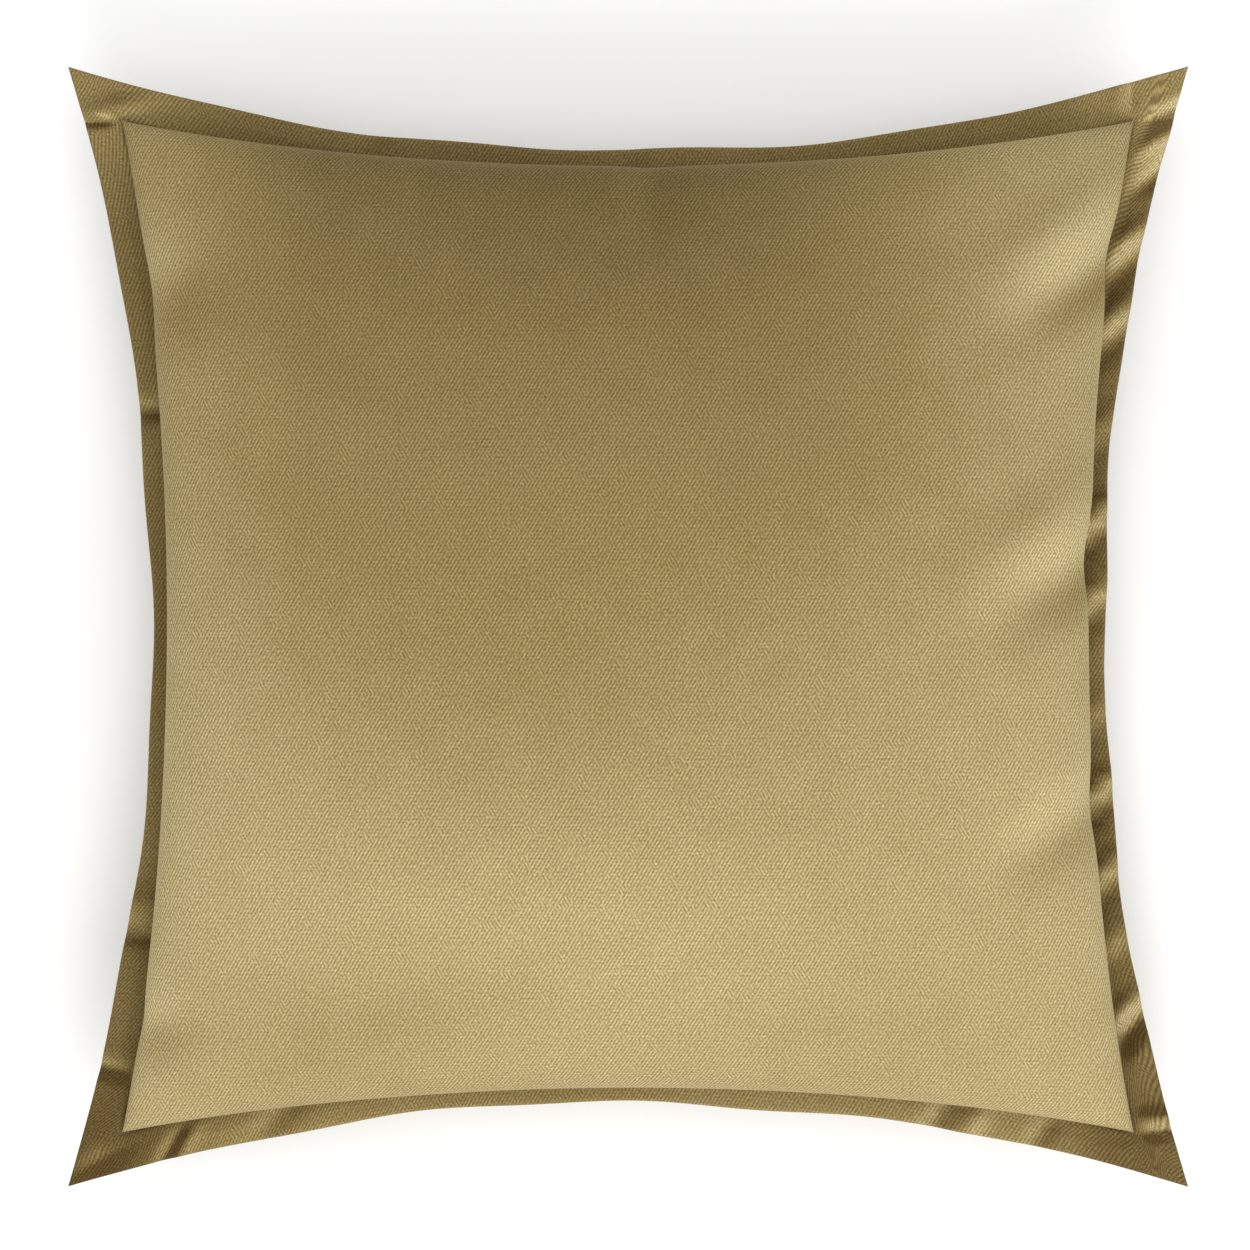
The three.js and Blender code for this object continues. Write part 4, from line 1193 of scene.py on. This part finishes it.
def make_coils():
    """Two interlocking nylon coils: a flattened helix along the zip's arc, half a pitch apart."""
    start = CHAIN_START + turn_of(STOP_LENGTH + PIECE_GAP)
    end = CHAIN_END - turn_of(STOP_LENGTH + PIECE_GAP)
    turns = int((end - start) * ZIP_RADIUS / COIL_PITCH)
    phase = np.linspace(0, 2 * np.pi * turns, turns * COIL_TURN_STEPS + 1)
    half_height = (COIL_HIGH - COIL_LOW) / 2 - COIL_WIRE
    half_width = (COIL_WIDTH + HEAD_OVERLAP) / 2 - COIL_WIRE
    ring = round_profile(COIL_WIRE, COIL_WIRE, 5)
    for side, name in ((1, "upper"), (-1, "lower")):
        lag = 0.25 if side == 1 else 0.75
        angle = start + turn_of(COIL_PITCH * (phase / (2 * np.pi) + lag * 0.9))
        middle = side * (COIL_GAP + COIL_WIDTH / 2 - HEAD_OVERLAP / 2 + coil_shift(angle))
        level = (COIL_LOW + COIL_HIGH) / 2 + half_height * np.sin(phase)
        path = on_zip(angle, middle + half_width * np.cos(phase), level)
        ahead = unit(np.gradient(path, axis=0))
        across, out = zip_frames(angle)
        outwards = across * np.cos(phase)[:, None] + out * np.sin(phase)[:, None]
        sides = unit(np.cross(ahead, outwards))
        points, faces = swept(path, sides, np.cross(sides, ahead), ring)
        coil = piece(f"zip_coil_{name}", points, faces, shared(coil_finish, settings()[1]))
        stands_for(coil, f"zipper_coil_{name}")
        part_on_opening(coil, side)


def on_zip_local(points, angle):
    """Points given along the zip, across it and out of it, moved to the zip at an angle."""
    along = turned(np.array([1.0, 0, 0]), ZIP_AXIS, np.array(angle))
    across = turned(ZIP_ACROSS, ZIP_AXIS, np.array(angle))
    out = turned(ZIP_OUT, ZIP_AXIS, np.array(angle))
    origin = on_zip(np.array(angle), 0.0, 0.0)
    return origin + points[:, :1] * along + points[:, 1:2] * across + points[:, 2:] * out


def make_stops():
    """Crimped metal stops: a soft-edged clip with a pinched middle."""
    near = COIL_GAP + OPEN_SHIFT
    top_angle = CHAIN_START + turn_of(STOP_LENGTH / 2)
    end_angle = CHAIN_END - turn_of(STOP_LENGTH / 2)
    chain = COIL_GAP + COIL_WIDTH
    clips = (
        ("stop_top_upper", "zipper_top_stop_upper", near, near + COIL_WIDTH, top_angle),
        ("stop_top_lower", "zipper_top_stop_lower", -near - COIL_WIDTH, -near, top_angle),
        ("stop_bottom", "zipper_bottom_stop", -chain, chain, end_angle),
    )
    for name, node, low, high, angle in clips:
        half = STOP_LENGTH / 2
        points, faces = soft_block((-half, low, COIL_LOW), (half, high, COIL_HIGH + 0.7 * MM), 0.3)
        pinch = 1 - 0.18 * gaussian(points[:, 0], 0.35 * MM)
        middle = (COIL_LOW + COIL_HIGH + 0.7 * MM) / 2
        points[:, 2] = middle + (points[:, 2] - middle) * pinch
        stop = piece(name, on_zip_local(points, angle), faces, shared(brass_finish, settings()[1]))
        stands_for(stop, node)


def plate(outline, low, high, rounding, dome=0.0):
    """A flat plate with rounded edges: rings of its outline, drawn in by a quarter circle at each
    face and closed at a pole. A dome lifts the upper face towards its middle."""
    centre = outline.mean(0)
    quarter = np.linspace(0, np.pi / 2, 5)
    size = np.linalg.norm(outline - centre, axis=1).max()
    inset = 1 - rounding * (1 - np.sin(quarter)) / size
    rise_by = rounding * np.cos(quarter)
    scale = np.concatenate([[0.4], inset, inset[::-1], [0.6, 0.3]])
    height = np.concatenate([[low], low + rounding - rise_by, high - rounding + rise_by[::-1], [high, high]])
    height[-2:] += dome * np.array([0.7, 0.95])
    rings = centre + (outline - centre)[None] * scale[:, None, None]
    level = np.broadcast_to(height[:, None, None], (*rings.shape[:2], 1))
    body = np.concatenate([rings, level], -1)
    rows, columns = body.shape[:2]
    poles = [[*centre, low], [*centre, high + dome]]
    points = np.concatenate([body.reshape(-1, 3), poles])
    faces = [grid_faces(rows, columns, ring=True)]
    faces.append(fan_faces(np.arange(columns), rows * columns, forward=False))
    faces.append(fan_faces(np.arange(columns) + (rows - 1) * columns, rows * columns + 1))
    return points, faces


def shield(inset):
    """The slider's outline: a squared ring, broad at the nose and narrower at the tail."""
    angle = np.linspace(0, 2 * np.pi, 48, endpoint=False)
    x = (SLIDER_LENGTH / 2 - inset) * signed_power(np.cos(angle), 0.55)
    narrow = smooth_step(x, -0.1 * SLIDER_LENGTH, SLIDER_LENGTH / 2)
    half = SLIDER_HALF_WIDTH + (SLIDER_TAIL - SLIDER_HALF_WIDTH) * narrow - inset
    return np.stack([x, half * signed_power(np.sin(angle), 0.6)], -1)


def outward_blocks(parts):
    """The same bodies, each with its faces turned to point out."""
    fixed = []
    for points, faces in parts:
        if signed_volume(points, faces) < 0:
            faces = [block[:, ::-1] for block in faces]
        fixed.append((points, faces))
    return fixed


def make_slider():
    """The slider: two shield plates round a post, side rails, and the bridge that holds the tab."""
    nose = -SLIDER_LENGTH / 2
    rail_in, rail_out = 3.4 * MM, SLIDER_HALF_WIDTH
    arch = np.linspace(-0.25, np.pi + 0.25, 25)
    path = np.stack(
        [
            BRIDGE_HALF * signed_power(np.cos(arch), 0.5),
            np.zeros_like(arch),
            SLIDER_TOP - 0.2 * MM + (BRIDGE_TOP - SLIDER_TOP - 0.2 * MM) * signed_power(np.sin(arch), 0.5),
        ],
        -1,
    )
    ahead = unit(np.gradient(path, axis=0))
    sides = np.tile([0.0, 1.0, 0.0], (len(path), 1))
    bridge = swept(path, sides, np.cross(ahead, sides), round_profile(0.9 * MM, 0.4 * MM, 14, 0.6))
    post_low = (nose + 0.4 * MM, -POST_HALF, SLIDER_FLOOR - 0.3 * MM)
    post_high = (nose + POST_LENGTH, POST_HALF, SLIDER_UNDER + 0.3 * MM)
    rail_start, rail_end = nose + 1.1 * MM, 0.6 * MM
    rail_low, rail_high = -0.95 * MM, SLIDER_TOP - 0.3 * MM
    parts = [
        plate(shield(0), SLIDER_UNDER, SLIDER_TOP, 0.4 * MM, 0.12 * MM),
        plate(shield(0.3 * MM), SLIDER_BASE, SLIDER_FLOOR, 0.4 * MM),
        soft_block(post_low, post_high, 0.6),
        soft_block((rail_start, rail_in, rail_low), (rail_end, rail_out, rail_high), 0.3),
        soft_block((rail_start, -rail_out, rail_low), (rail_end, -rail_in, rail_high), 0.3),
        bridge,
    ]
    points, faces = joined(outward_blocks(parts))
    slider = piece("slider_body", on_slider(points), faces, shared(brass_finish, settings()[1]))
    stands_for(slider, "zipper_slider", "slider")


def on_slider(points):
    """Points given along, across and out of the slider, moved to where it rests."""
    flipped = points * [1, -1, 1]
    return on_zip_local(flipped, SLIDER_ANGLE)


def tab_outline(steps=64):
    """The tab's outline: straight flanks that swell a little to a round end."""
    angle = np.linspace(0, 2 * np.pi, steps, endpoint=False)
    middle = TAB_LENGTH / 2 - 0.5 * MM
    x = middle + TAB_LENGTH / 2 * signed_power(np.cos(angle), 0.45)
    waist = 1 - 0.16 * gaussian(x - 9.5 * MM, 4 * MM)
    return np.stack([x, TAB_WIDTH / 2 * waist * signed_power(np.sin(angle), 0.55)], -1)


def tab_hole(steps=64):
    """The hole that the bridge passes through, as a squared ring."""
    angle = np.linspace(0, 2 * np.pi, steps, endpoint=False)
    x = 2.55 * MM + 2.05 * MM * signed_power(np.cos(angle), 0.5)
    return np.stack([x, 1.5 * MM * signed_power(np.sin(angle), 0.5)], -1)


def make_tab():
    """The pull tab: rings between its outline and its hole, over a rolled rim and a sunken field."""
    outer, hole = tab_outline(), tab_hole()
    share = np.array([0.0, 0.0, 0.05, 0.12, 0.2, 0.28, 0.5, 0.78, 0.88, 0.96, 1.0, 1.0])
    height = np.array([0.12, 0.34, 0.47, 0.5, 0.46, 0.34, 0.32, 0.34, 0.46, 0.5, 0.4, 0.12]) * MM
    rings = outer[None] + (hole - outer)[None] * share[:, None, None]
    top = np.concatenate([rings, np.broadcast_to(height[:, None, None], (*rings.shape[:2], 1))], -1)
    bottom = top[::-1] * [1, 1, -1]
    body = np.concatenate([top, bottom])
    faces = grid_faces(body.shape[0], body.shape[1], ring=True, loop=True)
    along = turned(np.array([1.0, 0, 0]), ZIP_AXIS, np.array(SLIDER_ANGLE))
    out = turned(ZIP_OUT, ZIP_AXIS, np.array(SLIDER_ANGLE))
    hinge = np.cross(out, along)
    down = np.array([0.0, 0.0, -1.0])
    hanging = unit(down - (down @ hinge) * hinge)
    flat = body.reshape(-1, 3)
    face = np.cross(hanging, hinge)
    placed = TAB_PIVOT + flat[:, :1] * hanging + flat[:, 1:2] * hinge + flat[:, 2:] * face
    tab = piece("pull_tab", placed, faces, shared(brass_finish, settings()[1]))
    stands_for(tab, "zipper_pull_tab", "pull_tab")


def make_back_stitches():
    """The rows that hold the tapes, and the seams beyond the zip."""
    sizes = settings()[0]
    angle = np.linspace(-ZIP_END_ANGLE, ZIP_END_ANGLE, 400)
    for side, name in ((1, "upper"), (-1, "lower")):
        path = on_zip(angle, side * (SLOT_HALF + 2.25 * MM), 0.1 * MM)
        points, ways, step = spaced(path, sizes.stitch_length)
        ups = np.tile(ZIP_OUT, (len(points), 1))
        body = stitch_row(points, ways, ups, 0.86 * step, sizes.thread_radius, 0.12 * MM, lean=0.06)
        row = piece(f"tape_stitch_{name}", *body, shared(thread_finish, settings()[1]))
        stands_for(row, f"zip_stitch_{name}")
    for side, name in ((-1, "left"), (1, "right")):
        column = side * np.linspace(TAPER_COLUMN + 0.02, 0.97, 200)
        row = np.full_like(column, ZIP_ROW)
        normals = normals_of(back_skin, column, row, BACK)
        path = back_skin(column, row) + normals * 0.1 * MM
        points, ways, step = spaced(path, sizes.stitch_length)
        ups = normals[np.linspace(0, len(normals) - 1, len(points)).astype(int)]
        body = stitch_row(points, ways, ups, 0.86 * step, sizes.thread_radius, 0.2 * MM)
        seam = piece(f"join_seam_{name}", *body, shared(thread_finish, settings()[1]))
        stands_for(seam, f"back_join_seam_{name}")


def make_label(name, node, skin, half, depth, rows=17, columns=17):
    """A small satin patch that lies along the cloth, with turned-in ends."""
    low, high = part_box(node)
    fine = np.linspace(-0.95, 0.95, 381)
    s_all, t_all = np.meshgrid(fine, fine)
    plan = skin(s_all, t_all)
    across = (plan[..., 0] > low.x) & (plan[..., 0] < high.x)
    inside = across & (plan[..., 1] > low.y) & (plan[..., 1] < high.y)
    s_range, t_range = s_all[inside], t_all[inside]
    s_places = np.linspace(s_range.min(), s_range.max(), columns)
    t_places = np.linspace(t_range.min(), t_range.max(), rows)
    s, t = np.meshgrid(s_places, t_places)
    normals = normals_of(skin, s, t, half)
    share = np.linspace(-1, 1, rows)[:, None]
    hem = 0.12 * MM * smooth_step(np.abs(share), 0.72, 0.8)
    base = skin(s, t) + normals * depth
    outer = base + normals * (0.28 * MM + hem)[..., None]
    points, faces = shell(outer, base)
    uv = np.tile(cloth_lengths(base).reshape(-1, 2), (2, 1))
    label = piece(name, points, faces, shared(satin_finish, settings()[1]), uv)
    stands_for(label, node)


# ---- stage ----

CAMERA_DISTANCE = 2.0
FRAME_WIDTH = 547 * MM
SENSOR = 36.0
CAMERA_ASIDE = (-1.3 * MM, 0.7 * MM)


def area_light(name, place, size, power):
    """A soft square light that looks at the middle of the pillow."""
    data = bpy.data.lights.new(name, "AREA")
    data.shape = "SQUARE"
    data.size = size
    data.energy = power
    light = bpy.data.objects.new(name, data)
    bpy.context.scene.collection.objects.link(light)
    light.location = place
    aim = Vector((0, 0, FLANGE_LEVEL)) - light.location
    light.rotation_euler = aim.to_track_quat("-Z", "Y").to_euler()


def set_stage():
    """The floor, the light and the camera, which looks straight down on the pillow's face."""
    colours = settings()[1]
    steps = 9
    across, along = np.meshgrid(np.linspace(-4, 4, steps), np.linspace(-4, 4, steps))
    top = np.stack([across, along, np.full_like(across, -0.2 * MM)], -1)
    points, faces = shell(top, top - [0, 0, 0.02])
    piece("floor", points, faces, floor_finish(colours))
    area_light("key", (0.35, -1.5, 1.5), 1.1, 19)
    area_light("overhead", (-0.2, 0.3, 2.4), 2.0, 20)
    world = bpy.data.worlds.new("studio")
    world.use_nodes = True
    world.node_tree.nodes["Background"].inputs["Color"].default_value = (1, 1, 1, 1)
    world.node_tree.nodes["Background"].inputs["Strength"].default_value = 0.8
    bpy.context.scene.world = world
    bpy.context.scene.view_settings.view_transform = "Standard"
    camera_data = bpy.data.cameras.new("camera")
    camera_data.sensor_width = SENSOR
    camera_data.lens = SENSOR * CAMERA_DISTANCE / FRAME_WIDTH
    camera = bpy.data.objects.new("camera", camera_data)
    bpy.context.scene.collection.objects.link(camera)
    camera.location = (*CAMERA_ASIDE, FLANGE_LEVEL + CAMERA_DISTANCE)
    bpy.context.scene.camera = camera


# ---- what a user can change ----


class PillowSizes(PropertyGroup):
    """Sizes of the pillow's cloth and stitches."""

    weave_pitch: FloatProperty(
        name="Weave pitch",
        description="Distance between two ribs of the velvet's ground",
        default=1.4 * MM,
        min=0.2 * MM,
        unit="LENGTH",
    )
    weave_contrast: FloatProperty(
        name="Weave contrast",
        description="How much darker the cloth is between its ribs",
        default=0.85,
        min=0.0,
        max=1.0,
        subtype="FACTOR",
    )
    stitch_length: FloatProperty(
        name="Stitch length",
        description="Length of one stitch",
        default=2.6 * MM,
        min=1 * MM,
        unit="LENGTH",
    )
    thread_radius: FloatProperty(
        name="Thread radius",
        description="Half the thickness of the sewing thread",
        default=0.22 * MM,
        min=0.05 * MM,
        unit="LENGTH",
    )


def colour_property(name, description, default):
    return FloatVectorProperty(
        name=name, description=description, default=default, min=0, max=1, subtype="COLOR"
    )


class PillowColours(PropertyGroup):
    """Colours of the pillow and its stage."""

    # The dark and light velvet colours are partly painted shade and painted light: the ramp puts them where
    # light falls less or more. The middle one is upright pile.
    velvet_dark_and_shaded: colour_property("Velvet, dark", "Pile that leans away", (0.082, 0.050, 0.0125))
    velvet_middle: colour_property("Velvet, middle", "Upright pile", (0.238, 0.176, 0.066))
    velvet_light_and_lit: colour_property("Velvet, light", "Pile that leans towards the eye", (0.425, 0.345, 0.172))
    velvet_rim: colour_property("Velvet, rim", "Nap seen from its side", (0.80, 0.70, 0.42))
    thread: colour_property("Thread", "Sewing thread", (0.105, 0.072, 0.028))
    ticking: colour_property("Ticking", "Case of the insert", (0.81, 0.79, 0.73))
    fibre: colour_property("Fibre", "Stuffing", (0.90, 0.90, 0.88))
    tape: colour_property("Zip tape", "Woven tapes of the zip", (0.195, 0.138, 0.045))
    coil: colour_property("Zip coil", "Nylon coils of the zip", (0.235, 0.172, 0.055))
    brass: colour_property("Zip metal", "Slider, tab and stops", (0.60, 0.44, 0.19))
    label: colour_property("Label", "Satin labels", (0.88, 0.87, 0.83))
    floor: colour_property("Floor", "Plain floor", (0.94, 0.94, 0.94))


# ---- one operator for each piece or group of like pieces ----


class PillowOperator:
    bl_options = {"REGISTER", "UNDO"}


class PILLOW_OT_stage(PillowOperator, Operator):
    """Sets the floor, the light and the camera"""

    bl_idname = "pillow.stage"
    bl_label = "Stage"

    def execute(self, context):
        set_stage()
        return {"FINISHED"}


class PILLOW_OT_front(PillowOperator, Operator):
    """Sews the front panel with its ply of the flange"""

    bl_idname = "pillow.front"
    bl_label = "Front panel"

    def execute(self, context):
        sew_front()
        return {"FINISHED"}


class PILLOW_OT_back(PillowOperator, Operator):
    """Sews the two back panels on either side of the zip"""

    bl_idname = "pillow.back"
    bl_label = "Back panels"

    def execute(self, context):
        sew_back(1, "velvet_back_upper", "cover_back_upper")
        sew_back(-1, "velvet_back_lower", "cover_back_lower")
        return {"FINISHED"}


class PILLOW_OT_insert(PillowOperator, Operator):
    """Makes the insert: its case, its seam and its stuffing"""

    bl_idname = "pillow.insert"
    bl_label = "Insert"

    def execute(self, context):
        make_insert_shell(FRONT, "ticking_front", "insert_shell_front")
        make_insert_shell(BACK, "ticking_back", "insert_shell_back")
        make_fill()
        make_insert_seam()
        return {"FINISHED"}


class PILLOW_OT_flange_stitches(PillowOperator, Operator):
    """Topstitches the flange and closes its edge"""

    bl_idname = "pillow.flange_stitches"
    bl_label = "Flange stitches"

    def execute(self, context):
        make_flange_stitches()
        return {"FINISHED"}


class PILLOW_OT_zip_chain(PillowOperator, Operator):
    """Makes the zip's tapes, coils and stops"""

    bl_idname = "pillow.zip_chain"
    bl_label = "Zip tapes, coils and stops"

    def execute(self, context):
        make_tapes()
        make_coils()
        make_stops()
        return {"FINISHED"}


class PILLOW_OT_zip_slider(PillowOperator, Operator):
    """Makes the slider and its pull tab"""

    bl_idname = "pillow.zip_slider"
    bl_label = "Zip slider and tab"

    def execute(self, context):
        make_slider()
        make_tab()
        return {"FINISHED"}


class PILLOW_OT_back_stitches(PillowOperator, Operator):
    """Sews the zip in and closes the seams beyond it"""

    bl_idname = "pillow.back_stitches"
    bl_label = "Back stitches"

    def execute(self, context):
        make_back_stitches()
        return {"FINISHED"}


class PILLOW_OT_labels(PillowOperator, Operator):
    """Makes the two blank labels inside the cover"""

    bl_idname = "pillow.labels"
    bl_label = "Labels"

    def execute(self, context):
        make_label("label_care", "care_label", back_skin, BACK, -VELVET - 0.8 * MM)
        make_label("label_insert", "insert_label", insert_skin(FRONT), FRONT, 0.5 * MM)
        return {"FINISHED"}


OPERATORS = (
    PILLOW_OT_stage,
    PILLOW_OT_front,
    PILLOW_OT_back,
    PILLOW_OT_insert,
    PILLOW_OT_flange_stitches,
    PILLOW_OT_zip_chain,
    PILLOW_OT_zip_slider,
    PILLOW_OT_back_stitches,
    PILLOW_OT_labels,
)


class PILLOW_PT_panel(Panel):
    """Sizes, colours and the steps that make the pillow"""

    bl_idname = "PILLOW_PT_panel"
    bl_label = "Velvet pillow"
    bl_space_type = "VIEW_3D"
    bl_region_type = "UI"
    bl_category = "Pillow"

    def draw(self, context):
        for group in (context.scene.pillow_sizes, context.scene.pillow_colours):
            column = self.layout.column(align=True)
            for name in group.__annotations__:
                column.prop(group, name)
        for operator in OPERATORS:
            self.layout.operator(operator.bl_idname)


CLASSES = (PillowSizes, PillowColours, *OPERATORS, PILLOW_PT_panel)


def register():
    for cls in CLASSES:
        bpy.utils.register_class(cls)
    bpy.types.Scene.pillow_sizes = PointerProperty(type=PillowSizes)
    bpy.types.Scene.pillow_colours = PointerProperty(type=PillowColours)


def unregister():
    del bpy.types.Scene.pillow_colours
    del bpy.types.Scene.pillow_sizes
    for cls in reversed(CLASSES):
        bpy.utils.unregister_class(cls)


def main():
    register()
    for operator in OPERATORS:
        group, name = operator.bl_idname.split(".")
        getattr(getattr(bpy.ops, group), name)()


if __name__ == "__main__":
    main()
